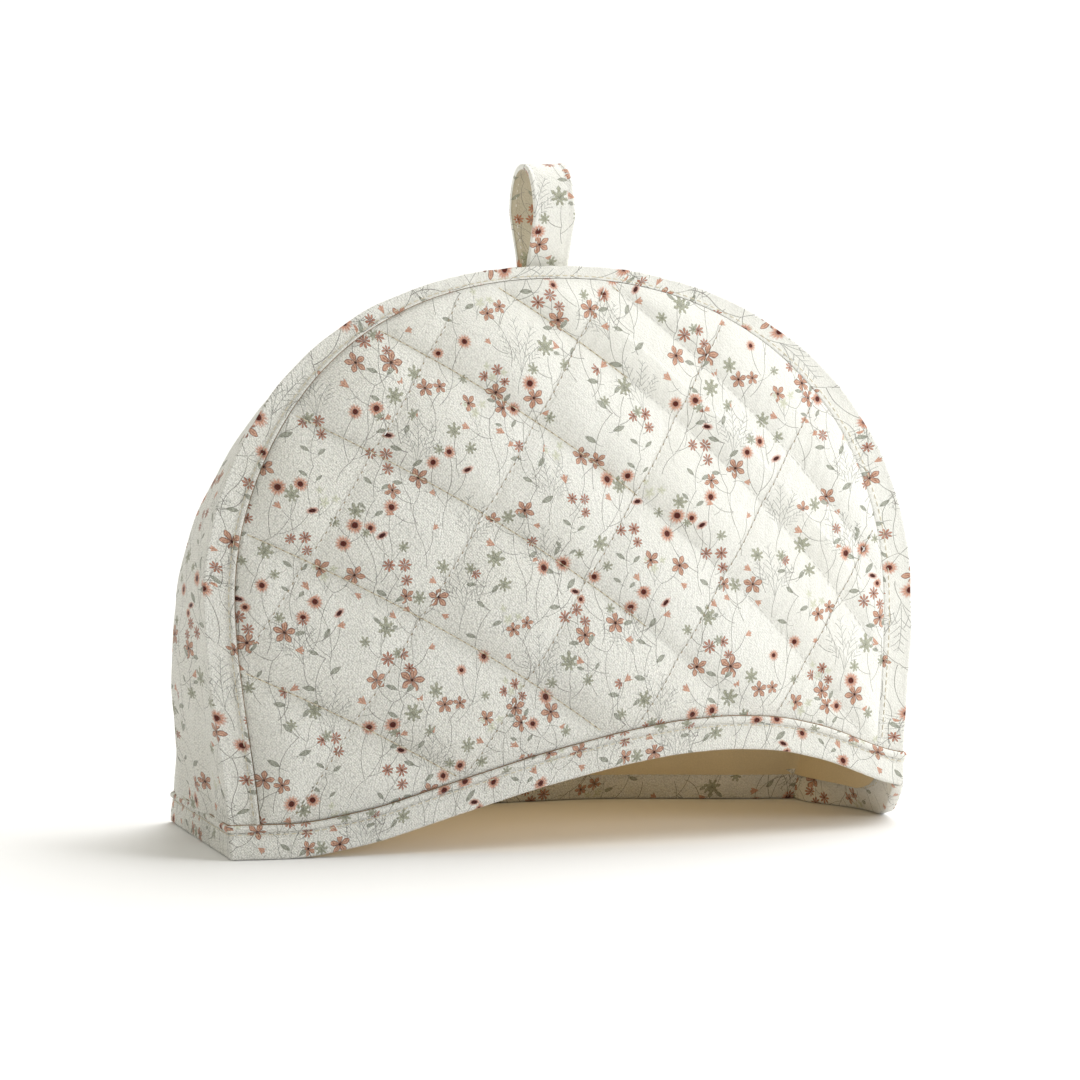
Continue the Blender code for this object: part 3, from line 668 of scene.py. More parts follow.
def boxingStrip():
    steps, border = gussetSettings["across"], stripBorder()
    count, clear = gussetSettings["along"] + 1, shape["band"] - 0.0002
    lines = [stripLine(-1, inset, out, count, clear) for inset, out in border]
    for t in np.linspace(0, 1, steps + 1):
        swing = math.cos(math.pi * t)
        lines.append(girdleLine(0.5 - 0.5 * swing * (0.72 + 0.28 * abs(swing)), count, clear))
    lines += [stripLine(1, inset, out, count, clear) for inset, out in border[::-1]]
    points = np.stack(lines, axis=1)  # along, across
    # the creases are rounded, the roll beside each seam is left as it is
    first, last = len(border), len(border) + steps
    smoothed = (points[:, :-2] + 2 * points[:, 1:-1] + points[:, 2:]) / 4
    for crease in (first, last):
        points[:, crease - 1:crease + 2] = smoothed[:, crease - 2:crease + 1]
    normal = outwardNormals(points)
    gaps = np.linalg.norm(np.diff(points, axis=1), axis=-1)
    across = np.concatenate([np.zeros((count, 1)), np.cumsum(gaps, axis=1)], axis=1)
    along = distances(points[:, len(lines) // 2])[:, None]
    fromFront = across - across[:, first:first + 1]
    span = (across[:, last] - across[:, first])[:, None]
    share = np.clip(fromFront / span, 0.0, 1.0)
    height = points[..., 2]
    # upright folds at both ends, strongest low down, fading out at the creases
    hold = np.sin(math.pi * share) ** 0.7 * (fromFront > 0) * (fromFront < span)
    low = smooth((0.125 - height) / 0.11)
    bend = (share + 0.05 * waves(height, height * 0.0, 0.12, 31) + 0.10 * (height / 0.2)) * 2 * math.pi
    folds = np.sin(bend * 2.3 + 0.6) * 0.75 + 0.35 * np.sin(bend * 4.7 + 2.0)
    out = gussetSettings["foldDepth"] * folds * hold * low
    # the left end is slack
    slack = gussetSettings["slack"] * smooth((0.16 - height) / 0.10) * np.sin(math.pi * share)
    fromBelly = (height - gussetSettings["bellyHeight"]) / gussetSettings["bellyReach"]
    slack = slack + gussetSettings["belly"] * np.exp(-fromBelly ** 2) * np.sin(math.pi * share ** 1.8)
    out = out + slack * (points[..., 0] < 0)
    # the proud crease and shallow puckers that run out from each seam
    fromCrease = np.minimum(np.abs(fromFront), np.abs(fromFront - span))
    out = out + gussetSettings["crease"] * np.exp(-fromCrease / 0.0016)
    fromSeam = np.minimum(across, across[:, -1:] - across)
    ridges = np.sin(along * 2 * math.pi / gussetSettings["puckerStep"] + 2.0 * waves(along, across, 0.05, 8))
    out = out + gussetSettings["pucker"] * ridges * np.exp(-((fromSeam - 0.0062) / 0.0030) ** 2)
    out = out + gussetSettings["wrinkle"] * waves(along, across, 0.035, 17) * smooth(fromSeam / 0.012)
    points = points + normal * out[..., None]
    faces = gridFaces(count, len(lines))
    flat = np.stack(np.broadcast_arrays(fromFront * gussetSettings["printSqueeze"], along), axis=-1)
    flat = flat.reshape(-1, 2)[faces] * 1000 + np.array(gussetSettings["printStart"])
    if facesInward(normal, points):
        faces, flat = faces[:, ::-1], flat[:, ::-1]
    return toMesh("gusset_cloth", points.reshape(-1, 3), faces, flat), points


gusset, gussetPoints = boxingStrip()


print("tea cosy: hem band")

hemSettings = {
    "front": 520, "side": 170, "back": 360,  # steps along each side of the ring
    "rollHigh": 0.0034, "roll": 0.0016,  # the rolled upper edge
    "fold": 0.0017,  # rounding of the lower fold
    "flare": 0.0095,  # how far the right end kicks out at the floor
    "ripple": 0.00045, "fineRipple": 0.00018,  # where the cloth is gathered round the hem
    "printStart": (70.0, 3.0),
}


def edgePoint(side, across, rise):
    ridgeHalf = ridgeSize(side)[0]
    strip = shape["frontHalf"] - shape["panelHalf"]
    across = np.asarray(across, float)
    z = np.full(across.shape, float(rise))
    for _ in range(4):
        pinched = np.where(across < 0, pinch(z, -1), pinch(z, 1))
        edge = ridgeHalf - pinched
        # the ends settle the height of their corner
        z = rise + (frontLift(across * edge) if side < 0 else 0.0 * across)
    x = across * edge
    over = np.clip((np.abs(x) - edge + strip) / strip, 0.0, 1.0)
    half, top, _ = panelSize(side)
    y = seamPlane(side, z) + side * (bulgeAt(x, z, half, top) - shape["setBack"] * over)
    return np.stack([x, y, z], axis=1)


def endPoint(hand, share, rise):
    lowY = frontY(0.0) + shape["depthHem"] * share
    z = rise + (rightLift(lowY) if hand > 0 else 0.0 * share)
    half = shape["frontHalf"] + (shape["backHalf"] - shape["frontHalf"]) * share - pinch(z, hand)
    if hand > 0:
        down = (1.0 - rise / shape["band"]) ** 0.8
        half = half + hemSettings["flare"] * down * np.sin(math.pi * np.clip(share / 0.85, 0, 1)) ** 0.8
    y = frontY(z) + shape["setBack"] * (1 - 2 * share) + depthAt(z) * share
    return np.stack([hand * half, y, z], axis=1)


def hemPath(rise):
    def sides(start, end, key):
        return np.linspace(start, end, hemSettings[key] + 1)[:-1]

    line = np.concatenate([
        edgePoint(-1, sides(-1, 1, "front"), rise), endPoint(1, sides(0, 1, "side"), rise),
        edgePoint(1, sides(1, -1, "back"), rise), endPoint(-1, sides(1, 0, "side"), rise),
    ])
    return tucked(*line.T)


def sideways(path):
    # level directions that point out of a closed path running anticlockwise
    along = np.roll(path, -1, axis=0)[:, :2] - np.roll(path, 1, axis=0)[:, :2]
    along = along / np.linalg.norm(along, axis=1)[:, None]
    return np.stack([along[:, 1], -along[:, 0], np.zeros(len(path))], axis=1)


def hemProfile():
    # height up the band and distance out, once round its section, starting at the top inside
    top, fold, rollHigh = shape["band"], hemSettings["fold"], hemSettings["rollHigh"]
    proud, inside = shape["bandProud"], shape["bandProud"] - shape["bandThick"]
    middle, half = (proud + inside) / 2, (proud - inside) / 2
    profile = [(top, inside + 0.0004), (top + 0.0001, middle)]
    for t in np.linspace(0.0, 1.0, 10):
        rolled = hemSettings["roll"] * math.sin(math.pi * t) ** 0.75
        profile.append((top - rollHigh * (1 - math.cos(math.pi * t)) / 2, proud + rolled - 0.0006 * t * t))
    faceTop = top - rollHigh - 0.0004
    for t in np.linspace(0.0, 1.0, 11)[1:-1]:
        hollow = -0.0006 * math.exp(-t * 9) + 0.0003 * math.sin(math.pi * t)
        profile.append((faceTop + (fold - faceTop) * t, proud + hollow))
    for angle in np.linspace(0.0, math.pi, 11):
        turned = math.copysign(abs(math.cos(angle)) ** 0.8, math.cos(angle))
        profile.append((fold * (1 - math.sin(angle) ** 0.85), middle + half * turned))
    for t in np.linspace(0.0, 1.0, 10)[1:]:
        up = fold + (top - 0.0004 - fold) * t
        dent = 0.0005 * math.exp(-((up - top + 0.0030) / 0.0008) ** 2)
        profile.append((up, inside - 0.0004 * math.sin(math.pi * t) + dent))
    return np.array(profile)


def hemPoints(up, reach, extra=0.0):
    # points round the band at one height up its face
    foot, head = hemLines
    return foot + (head - foot) * (up / shape["band"]) + hemOut * np.reshape(reach + extra, (-1, 1))


hemLines = hemPath(0.0), hemPath(shape["band"])
hemOut = sideways(hemLines[0])
hemAlong = distances(hemLines[0])


def hemRing():
    profile = hemProfile()
    ripple = hemSettings["ripple"] * waves(hemAlong, hemAlong * 0, 0.030, 41)
    ripple = ripple + hemSettings["fineRipple"] * waves(hemAlong, hemAlong * 0, 0.008, 42)
    share = np.clip(profile[:, 0] / (shape["band"] - hemSettings["rollHigh"]), 0, 1)
    rows = [hemPoints(up, reach, ripple * amount)
            for (up, reach), amount in zip(profile, np.sin(math.pi * share))]
    points = np.stack([*rows, rows[0]], axis=1)
    columns, count = points.shape[:2]
    around = distances(profile)
    around = np.append(around, around[-1] + 0.001)
    u = np.append(hemAlong, hemAlong[-1] + np.linalg.norm(hemLines[0][0] - hemLines[0][-1]))
    a, b = np.arange(columns)[:, None], np.arange(count - 1)[None, :]
    corners = [np.stack(np.broadcast_arrays(u[a + da], -around[b + db]), axis=-1)
               for da, db in ((0, 0), (1, 0), (1, 1), (0, 1))]
    flat = np.stack(corners, axis=2).reshape(-1, 4, 2) * 1000 + np.array(hemSettings["printStart"])
    # the last row is the first one again
    faces = gridFaces(columns, count, ring=True)
    faces = np.where(faces % count == count - 1, faces - (count - 1), faces)
    made = toMesh("hem_cloth", points.reshape(-1, 3), faces[:, ::-1], flat[:, ::-1])
    return editWhole(made, dropLoose, normalsOut)


hem = hemRing()


print("tea cosy: hanging loop")

loopSettings = {
    "middle": (frontY(shape["frontTop"]) + frontY(shape["backTop"]) + float(depthAt(shape["backTop"]))) / 2,
    "width": 0.0210, "thick": 0.0024, "high": 0.0505,
    "halfDepth": 0.0195, "footDepth": 0.0058, "narrow": 0.027,  # it closes to its feet below this height
    "shift": 0.0018, "round": 0.45,  # to the right of the middle, and how full its top is
    "seat": 0.0019, "sewnIn": 0.0036,  # above the strip's line, and how far the feet go into it
    "steps": 120, "printStart": (20.0, 60.0),
}


def loopPath(count):
    # distance across, height and their outward directions along the folded ribbon
    angle = np.linspace(-math.pi / 2, math.pi / 2, 1441)
    height = np.clip(np.cos(angle), 0.0, 1.0) ** loopSettings["round"] * loopSettings["high"]
    foot = loopSettings["footDepth"] / loopSettings["halfDepth"]
    widening = np.interp(height, (0.0, loopSettings["narrow"]), (foot, 1.0))
    across = np.sin(angle) * loopSettings["halfDepth"] * widening
    along = np.concatenate([[0.0], np.cumsum(np.hypot(np.diff(across), np.diff(height)))])
    even = np.linspace(0.0, along[-1], count)
    across, height = np.interp(even, along, across), np.interp(even, along, height)
    across, height = relaxed(across, 6), relaxed(height, 6)
    # both feet are sewn down into the strip
    height = height - loopSettings["sewnIn"] * (1.0 - smooth(height / 0.006))
    slopeY, slopeZ = np.gradient(across), np.gradient(height)
    length = np.hypot(slopeY, slopeZ)
    y, z = loopSettings["middle"] + across, shape["backTop"] + loopSettings["seat"] + height
    return y, z, -slopeZ / length, slopeY / length, even


def loopSection():
    # once round the ribbon: across its width and out from its middle, with a soft groove by each edge
    half, thick = loopSettings["width"] / 2, loopSettings["thick"] / 2
    section = []
    for side in (1, -1):
        for t in np.linspace(-1, 1, 21):
            x = -side * t * half * 0.97
            edge = half - abs(x)
            ridge = 0.00025 * math.exp(-((edge - 0.0012) / 0.0009) ** 2)
            groove = 0.00035 * math.exp(-((edge - 0.0028) / 0.0007) ** 2)
            section.append((x, side * (thick + ridge - groove)))
        section.append((-side * half, 0.0))
    return np.array(section)


def hangingLoop():
    y, z, normalY, normalZ, along = loopPath(loopSettings["steps"] + 1)
    section = loopSection()
    # the ribbon is a touch wider at its fold and its edges are not quite straight
    wobble = 1.0 + 0.012 * waves(along, along * 0, 0.04, 51)
    x = loopSettings["shift"] + section[None, :, 0] * wobble[:, None]
    points = np.stack([x, y[:, None] + normalY[:, None] * section[:, 1],
                       z[:, None] + normalZ[:, None] * section[:, 1]], axis=-1)
    faces = gridFaces(*points.shape[:2], tube=True)
    # the cloth's inner face is printed from another part of the pattern
    across = section[:, 0] + np.where(section[:, 1] > 0, 0.0, 0.040)
    place = np.stack(np.broadcast_arrays(across[None, :], along[:, None]), axis=-1)
    flat = place.reshape(-1, 2)[faces] * 1000
    # a face at the edge keeps the same side of the cloth as its first corner
    jump = flat[:, 2:, 0] - flat[:, :1, 0]
    flat[:, 2:, 0] = np.where(np.abs(jump) > 10, flat[:, :1, 0], flat[:, 2:, 0])
    made = toMesh("loop_cloth", points.reshape(-1, 3), faces, flat + np.array(loopSettings["printStart"]))
    return editWhole(made, closeEnds, normalsOut)


loop = hangingLoop()


print("tea cosy: lining")

liningSettings = {
    "across": 90, "up": 56, "middles": 14,  # steps over a sheet, and lines between the two sheets
    "depth": 0.0042, "ease": 0.0025, "hold": 0.020,  # inside the outer cloth, and where its rim is held
    "rumple": 0.0009,
}


def liningBag():
    clear = shape["band"] - 0.0030
    inset = liningSettings["depth"] + liningSettings["ease"]
    sheets, domes = [], []
    for side in (-1, 1):
        half, top, power = ridgeSize(side)
        steps = liningSettings["across"], liningSettings["up"]
        grid, rim = dGrid(half - inset, top - inset, power, clear, side, *steps)
        x, z = grid[..., 0], grid[..., 1]
        near = edgeDistance(x, z, rim[:, 0], rim[:, 1])
        held = shape["setBack"] * smooth(1.0 - near / liningSettings["hold"])
        panelHalf, panelTop, _ = panelSize(side)
        y = seamPlane(side, z) + side * (bulgeAt(x, z, panelHalf, panelTop) - liningSettings["depth"] - held)
        rumple = liningSettings["rumple"] * (waves(x, z, 0.06, 61 + side) + 0.6)
        y = y - side * rumple * smooth(near / 0.02)
        points = tucked(x, y, z)
        sheets.append(points)
        domes.append(np.concatenate([points[0, :-1], points[:, -1], points[-1, :-1][::-1]]))
    middles = [(k + 1) / (liningSettings["middles"] + 1) for k in range(liningSettings["middles"])]
    lines = [girdleLine(share, len(domes[0]), clear, inset) for share in middles]
    strip = np.stack([domes[0], *lines, domes[1]], axis=1)
    made = toMesh("lining_cloth", *joined([(grid.reshape(-1, 3), gridFaces(*grid.shape[:2]))
                                           for grid in (sheets[0], strip, sheets[1])]))
    return editWhole(made, (bpy.ops.mesh.remove_doubles, {"threshold": 0.00001}),
                     (bpy.ops.mesh.normals_make_consistent, {"inside": True}))


lining = liningBag()


print("tea cosy: stitching")

threadSettings = {
    # stitch length, gap and thickness
    "quilt": (0.0027, 0.0012, 0.00056), "edge": (0.0026, 0.0011, 0.00050),
}


def oneStitch():
    # a short rounded bit of thread, one unit long and one unit thick, lying along X
    bpy.ops.object.select_all(action="DESELECT")
    bpy.ops.mesh.primitive_uv_sphere_add(segments=6, ring_count=5, radius=0.5,
                                         rotation=(0.0, math.pi / 2, 0.0))
    made = bpy.context.object
    bpy.ops.object.transform_apply(location=True, rotation=True, scale=True)
    editWhole(made, (bpy.ops.mesh.quads_convert_to_tris, {}))
    points = np.array([point.co[:] for point in made.data.vertices])
    faces = np.array([face.vertices[:] for face in made.data.polygons])
    bpy.data.objects.remove(made, do_unlink=True)
    # the rings next to the ends are moved out, so that the bit keeps its thickness along its length
    away = np.maximum(np.hypot(points[:, 1], points[:, 2]), 1e-9)
    widen = np.where(away > 0.1, 0.5 / away * np.clip(0.72 + away * 0.6, 0, 1), 1.0)
    points[:, 1:] = points[:, 1:] * widen[:, None]
    return points, faces


stitchPoints, stitchFaces = oneStitch()


def stitchRow(line, normals, dash, gap, thick, skip=0.0):
    # bits of thread along a line of points, lying half in the cloth; returns points and faces
    along = distances(line)
    starts = np.arange(skip, along[-1] - dash, dash + gap)
    if len(starts) == 0:
        return np.zeros((0, 3)), np.zeros((0, 3), int)

    def at(distance, rows=line):
        return np.stack([np.interp(distance, along, rows[:, k]) for k in range(3)], axis=-1)

    a, b, middle = at(starts), at(starts + dash), at(starts + dash / 2)
    up = at(starts + dash / 2, normals)
    forward = (b - a) / np.linalg.norm(b - a, axis=1)[:, None]
    up = up - forward * (up * forward).sum(axis=1)[:, None]
    up = up / np.linalg.norm(up, axis=1)[:, None]
    side = np.cross(up, forward)
    bit = stitchPoints[None] * np.array([dash, thick, thick])
    # a stitch bows out in its middle and dives in at its ends
    bow = (1.0 - (2 * stitchPoints[:, 0]) ** 2) * thick * 0.35
    made = middle[:, None] + bit[..., 0:1] * forward[:, None] + bit[..., 1:2] * side[:, None]
    made = made + (bit[..., 2:3] + bow[None, :, None]) * up[:, None]
    faces = stitchFaces[None] + (np.arange(len(starts)) * len(stitchPoints))[:, None, None]
    return made.reshape(-1, 3), faces.reshape(-1, 3)


def insideD(x, z, rim):
    # which points lie inside a closed outline, by counting crossings
    ends = np.concatenate([rim, rim[:1]])
    x0, z0, x1, z1 = ends[:-1, 0], ends[:-1, 1], ends[1:, 0], ends[1:, 1]
    crosses = (z0[None] > z[:, None]) != (z1[None] > z[:, None])
    cut = x0[None] + (z[:, None] - z0[None]) / np.where(z1 == z0, 1e-9, z1 - z0)[None] * (x1 - x0)[None]
    return (crosses & (x[:, None] < cut)).sum(axis=1) % 2 == 1


def quiltLines(side):
    # the stitched lines of one panel as lists of (x, z), cut where the panel ends
    half, top, power = panelSize(side)
    _, rim = dGrid(half - 0.0003, top - 0.0003, power, shape["band"], side, 120, 70)
    x = np.linspace(-half, half, 1200)
    step = shape["riseStep"] * shape["riseSlope"]
    rising = shape["riseBase"] + shape["riseSlope"] * (x - shape["riseStart"])
    lines = [height - falling(x) for height in shape["fallHeights"]]
    lines += [rising + k * step for k in range(-6, 7)]
    found = []
    for number, z in enumerate(lines):
        inside = insideD(x, z, rim) & (edgeDistance(x, z, rim[::3, 0], rim[::3, 1]) > 0.0022)
        cuts = np.flatnonzero(np.diff(inside.astype(int)))
        for run in np.split(np.arange(len(x)), cuts + 1):
            if inside[run[0]] and len(run) > 12:
                found.append((-side * x[run], z[run], number < len(shape["fallHeights"])))
    return found


def laidOn(surface, side, x, z):
    # where a stitched line lies on the cloth, and the cloth's normals there
    line, normal = [], []
    for start in panelPoint(side, x, z, np.zeros(len(x))):
        above = Vector((start[0], start[1] + side * 0.03, start[2]))
        place, facing, _, _ = surface.ray_cast(above, Vector((0.0, -float(side), 0.0)), 0.08)
        if place is not None:
            line.append(place[:])
            normal.append(facing[:] if facing.y * side > 0 else (-facing)[:])
    return line, normal


def panelStitches(name, side, panel):
    # the falling lines are sewn in tan, which also paints the shade along them, with dark needle marks that
    # paint the shade in their stitch holes; the rising ones in cream
    surface = BVHTree.FromPolygons([point.co[:] for point in panel.data.vertices],
                                   [face.vertices[:] for face in panel.data.polygons])
    dash, gap, thick = threadSettings["quilt"]
    falls, rises, holes = [], [], []
    for x, z, isFall in quiltLines(side):
        step = max(len(x) // 260, 1)
        line, normal = laidOn(surface, side, x[::step], z[::step])
        if len(line) < 8:
            continue
        line, normal = relaxed(np.array(line), 3), relaxed(np.array(normal), 3)
        if isFall:
            # painted shade: on the front, right of the middle, the falling lines take the cream thread and no
            # needle marks, where the strong light washes their shade out
            last = len(line) if side > 0 else int((line[:, 0] < 0.035).sum())
            if last > 8:
                left, up = line[:last], normal[:last]
                falls.append(stitchRow(left + up * 0.00006, up, dash, gap, thick))
                holes.append(stitchRow(left - up * 0.00010, up, gap + 0.0008, dash - 0.0008,
                                       thick * 0.95, dash - 0.0004))
            if len(line) - last > 8:
                rises.append(stitchRow(line[last:], normal[last:], dash, gap, thick))
        else:
            rises.append(stitchRow(line + normal * 0.00020, normal, dash, gap * 1.3, thick * 1.3))
            holes.append(stitchRow(line - normal * 0.00010, normal, gap * 1.3, dash, thick * 0.8, dash))
    ends = (("_falling_stitches", falls), ("_rising_stitches", rises), ("_needle_hole_shade", holes))
    return [toMesh(name + end, *joined(rows)) for end, rows in ends]


frontFalls, frontRises, frontHoles = panelStitches("front_panel", -1, frontPanel)
backFalls, backRises, backHoles = panelStitches("back_panel", 1, backPanel)


def gussetStitches():
    normal = outwardNormals(gussetPoints)
    if facesInward(normal, gussetPoints):
        normal = -normal
    rows = []
    for column in (9, gussetPoints.shape[1] - 10):
        line, up = gussetPoints[4:-4, column], normal[4:-4, column]
        rows.append(stitchRow(line + up * 0.0001, up, *threadSettings["edge"]))
    return toMesh("gusset_stitches", *joined(rows))


ridgeStitches = gussetStitches()


def hemStitches():
    up = shape["band"] - hemSettings["rollHigh"] - 0.0011
    outer = hemPoints(up, shape["bandProud"] - 0.0003)
    inner = hemPoints(shape["band"] - 0.0030, shape["bandProud"] - shape["bandThick"])
    rows = []
    for line, out in ((outer, hemOut), (inner, -hemOut)):
        closed = np.concatenate([line, line[:1]])
        outs = np.concatenate([out, out[:1]])
        rows.append(stitchRow(closed, outs, *threadSettings["edge"]))
    return toMesh("hem_stitches", *joined(rows))


hemRowStitches = hemStitches()


def loopStitches():
    y, z, normalY, normalZ, _ = loopPath(301)
    half, thick = loopSettings["width"] / 2, loopSettings["thick"] / 2
    rows = []
    for face in (1, -1):
        for hand in (-1, 1):
            x = np.full(len(y), loopSettings["shift"] + hand * (half - 0.0029))
            out = np.stack([np.zeros(len(y)), normalY * face, normalZ * face], axis=1)
            line = np.stack([x, y, z], axis=1) + out * (thick - 0.00048)
            rows.append(stitchRow(line[6:-6], out[6:-6], *threadSettings["edge"]))
    return toMesh("loop_stitches", *joined(rows))


loopRowStitches = loopStitches()


def threadRound(name, line, out, up, thick, lastStep, ring=False):
    # a thread along a line of points: out and up are its directions there
    turns = np.linspace(0, 2 * math.pi, 7)[:-1]
    points = np.stack([line + thick * (math.cos(t) * out + math.sin(t) * up) for t in turns], axis=1)
    made = toMesh(name, points.reshape(-1, 3), gridFaces(*points.shape[:2], ring=ring, tube=True))
    return editWhole(made, lastStep, normalsOut)


def seamShadeCord(name, side):
    # a thin brown cord laid in the groove between the panel and its piped edge: painted shade for the dark
    # crease there, on the front sunk out of sight over the top and down the right
    half, top, power = panelSize(side)
    foot = shape["band"] + 0.0004
    x, z = domeLine(half, top, power, foot, cornerHeight(half, foot, side < 0), 700)
    y = seamPlane(side, z) + side * (0.0001 - 0.0016 * (1.0 - seamDepth(side, x)))
    line = tucked(x, y, z)
    forward = np.gradient(line, axis=0)
    forward = forward / np.linalg.norm(forward, axis=1)[:, None]
    out = np.broadcast_to(np.array([0.0, float(side), 0.0]), line.shape)
    return threadRound(name, line, out, np.cross(forward, out), 0.00032, closeEnds)


def hemSeamShadeCord():
    # the same brown cord, painted shade where the hem's rolled edge meets the body
    line, up = hemPoints(shape["band"] + 0.0001, 0.0007), np.array([0.0, 0.0, 1.0])
    return threadRound("hem_seam_shade_cord", line, hemOut, up, 0.00028, dropLoose, ring=True)


hemSeamShade = hemSeamShadeCord()
frontSeamShade = seamShadeCord("front_seam_shade_cord", -1)
backSeamShade = seamShadeCord("back_seam_shade_cord", 1)


print("tea cosy: cloth and thread finishes")

finish = {
    # colours as a screen shows them
    "ground": (0.930, 0.929, 0.910), "groundWarm": (0.915, 0.911, 0.882),
    # painted shade: the next two colours are a darker, warmer ground that paints the shade inside the loop
    "inner": (0.735, 0.702, 0.618), "innerShadeWarm": (0.715, 0.675, 0.583),  # inside the loop
    # a printed line's colour, half its thickness in millimetres and how strong it is
    "stem": ((0.497, 0.486, 0.454), 0.18, 0.85), "twig": ((0.53, 0.53, 0.508), 0.16, 0.80),
    # the needle colour is painted shade in the stitch holes; the quilt thread's tan also paints the shade
    # along the falling lines
    "thread": (0.965, 0.955, 0.91), "quiltThread": (0.885, 0.85, 0.76), "needle": (0.64, 0.575, 0.465),
    # the seam colour is painted shade: a brown cord laid in the seam grooves where the dark crease falls
    "seam": (0.552, 0.443, 0.322), "lining": (0.86, 0.80, 0.67),
    "roughness": 0.88, "sheen": 0.2,
}

inks = {
    # for each kind of mark: its colour and softness, its outline and veins, its heart and its size
    1: (((0.785, 0.52, 0.355), 0.0), ((0.37, 0.165, 0.11), 1.0), ((0.246, 0.104, 0.0598), 0.16)),
    2: (((0.755, 0.445, 0.265), 0.0), ((0.48, 0.23, 0.145), 0.8), ((0.421, 0.213, 0.136), 0.2)),
    3: (((0.785, 0.49, 0.345), 0.62), ((0.727, 0.421, 0.333), 0.0), ((0.344, 0.125, 0.0817), 0.45)),
    4: (((0.76, 0.44, 0.32), 0.75), ((0.53, 0.246, 0.18), 0.1), ((0.268, 0.0817, 0.0598), 0.58)),
    5: (((0.795, 0.53, 0.38), 0.1), ((0.53, 0.3, 0.213), 0.7), ((0.443, 0.246, 0.18), 0.1)),
    6: (((0.655, 0.66, 0.555), 0.0), ((0.38, 0.39, 0.3), 0.9), ((0.443, 0.465, 0.388), 0.0)),
    7: (((0.552, 0.563, 0.497), 0.0), ((0.388, 0.41, 0.344), 0.6), ((0.399, 0.432, 0.355), 0.0)),
    8: (((0.804, 0.809, 0.716), 0.8), ((0.727, 0.738, 0.64), 0.1), ((0.749, 0.76, 0.65), 0.0)),
}


def shade(colour):
    # a screen colour as Blender's own
    made = [c / 12.92 if c <= 0.04045 else ((c + 0.055) / 1.055) ** 2.4 for c in colour]
    return (*made, 1.0)


def newFinish(name):
    material = bpy.data.materials.new(name)
    material.use_nodes = True
    tree = material.node_tree
    principled = tree.nodes["Principled BSDF"]
    return material, tree, principled


@dataclasses.dataclass
class Output:
    # an output of a shader node, which sums can be written with
    socket: object


def give(socket, value):
    # sets a node's input, or links it to another node's output
    if isinstance(value, Output):
        socket.id_data.links.new(value.socket, socket)
    else:
        socket.default_value = value


def maths(operation, *values):
    tree = next(value.socket.id_data for value in values if isinstance(value, Output))
    node = tree.nodes.new("ShaderNodeMath")
    node.operation = operation
    for socket, value in zip(node.inputs, values):
        give(socket, value)
    return Output(node.outputs[0])


def signFor(operation, turned):
    return lambda one, other: maths(operation, *((other, one) if turned else (one, other)))


for sign, operation in (("add", "ADD"), ("sub", "SUBTRACT"), ("mul", "MULTIPLY"),
                        ("truediv", "DIVIDE"), ("pow", "POWER")):
    setattr(Output, f"__{sign}__", signFor(operation, False))
    setattr(Output, f"__r{sign}__", signFor(operation, True))


def clamped(value):
    # held between 0 and 1
    value.socket.node.use_clamp = True
    return value


def either(share, first, second):
    return first * share + second * (1.0 - share)


def blend(tree, share, first, second):
    # a colour between two others
    node = tree.nodes.new("ShaderNodeMix")
    node.data_type = "RGBA"
    for index, value in ((0, share), (6, first), (7, second)):
        give(node.inputs[index], shade(value) if isinstance(value, tuple) else value)
    return Output(node.outputs[2])


def objectPlace(tree):
    return Output(tree.nodes.new("ShaderNodeTexCoord").outputs["Object"])


def grain(tree, scale, detail=2.0):
    node = tree.nodes.new("ShaderNodeTexNoise")
    node.inputs["Scale"].default_value = scale
    node.inputs["Detail"].default_value = detail
    give(node.inputs["Vector"], objectPlace(tree))
    return Output(node.outputs["Fac"])


def pebbles(tree, scale, evenness):
    # small round grains in slanting rows
    slant = tree.nodes.new("ShaderNodeMapping")
    slant.inputs["Rotation"].default_value = (0.35, math.radians(41), 0.2)
    give(slant.inputs["Vector"], objectPlace(tree))
    node = tree.nodes.new("ShaderNodeTexVoronoi")
    node.inputs["Scale"].default_value = scale
    node.inputs["Randomness"].default_value = evenness
    give(node.inputs["Vector"], Output(slant.outputs["Vector"]))
    return 1.0 - Output(node.outputs["Distance"])


def bumps(tree, height, distance, strength=1.0, under=None):
    node = tree.nodes.new("ShaderNodeBump")
    node.inputs["Strength"].default_value = strength
    node.inputs["Distance"].default_value = distance
    give(node.inputs["Height"], height)
    if under is not None:
        give(node.inputs["Normal"], under)
    return Output(node.outputs["Normal"])


def kindRamp(tree, kind, column):
    # looks up an ink and its amount by the kind of mark
    node = tree.nodes.new("ShaderNodeValToRGB")
    ramp = node.color_ramp
    ramp.interpolation = "CONSTANT"
    while len(ramp.elements) > 1:
        ramp.elements.remove(ramp.elements[-1])
    ramp.elements[0].position = 0.0
    for number, row in inks.items():
        colour, amount = row[column]
        element = ramp.elements[0] if number == 1 else ramp.elements.new(number / 10 - 0.05)
        element.color = (*shade(colour)[:3], amount)
    give(node.inputs["Fac"], kind * 0.1)
    return Output(node.outputs["Color"]), Output(node.outputs["Alpha"])


def threeParts(vector):
    node = vector.socket.id_data.nodes.new("ShaderNodeSeparateXYZ")
    give(node.inputs["Vector"], vector)
    return [Output(part) for part in node.outputs]


def attributeParts(tree, name):
    node = tree.nodes.new("ShaderNodeAttribute")
    node.attribute_name = name
    return threeParts(Output(node.outputs["Vector"]))


def finished(principled, colour, normal, roughness, sheen):
    for name, value in (("Base Color", colour), ("Normal", normal), ("Roughness", roughness),
                        ("Sheen Weight", sheen), ("Specular IOR Level", 0.25)):
        give(principled.inputs[name], value)


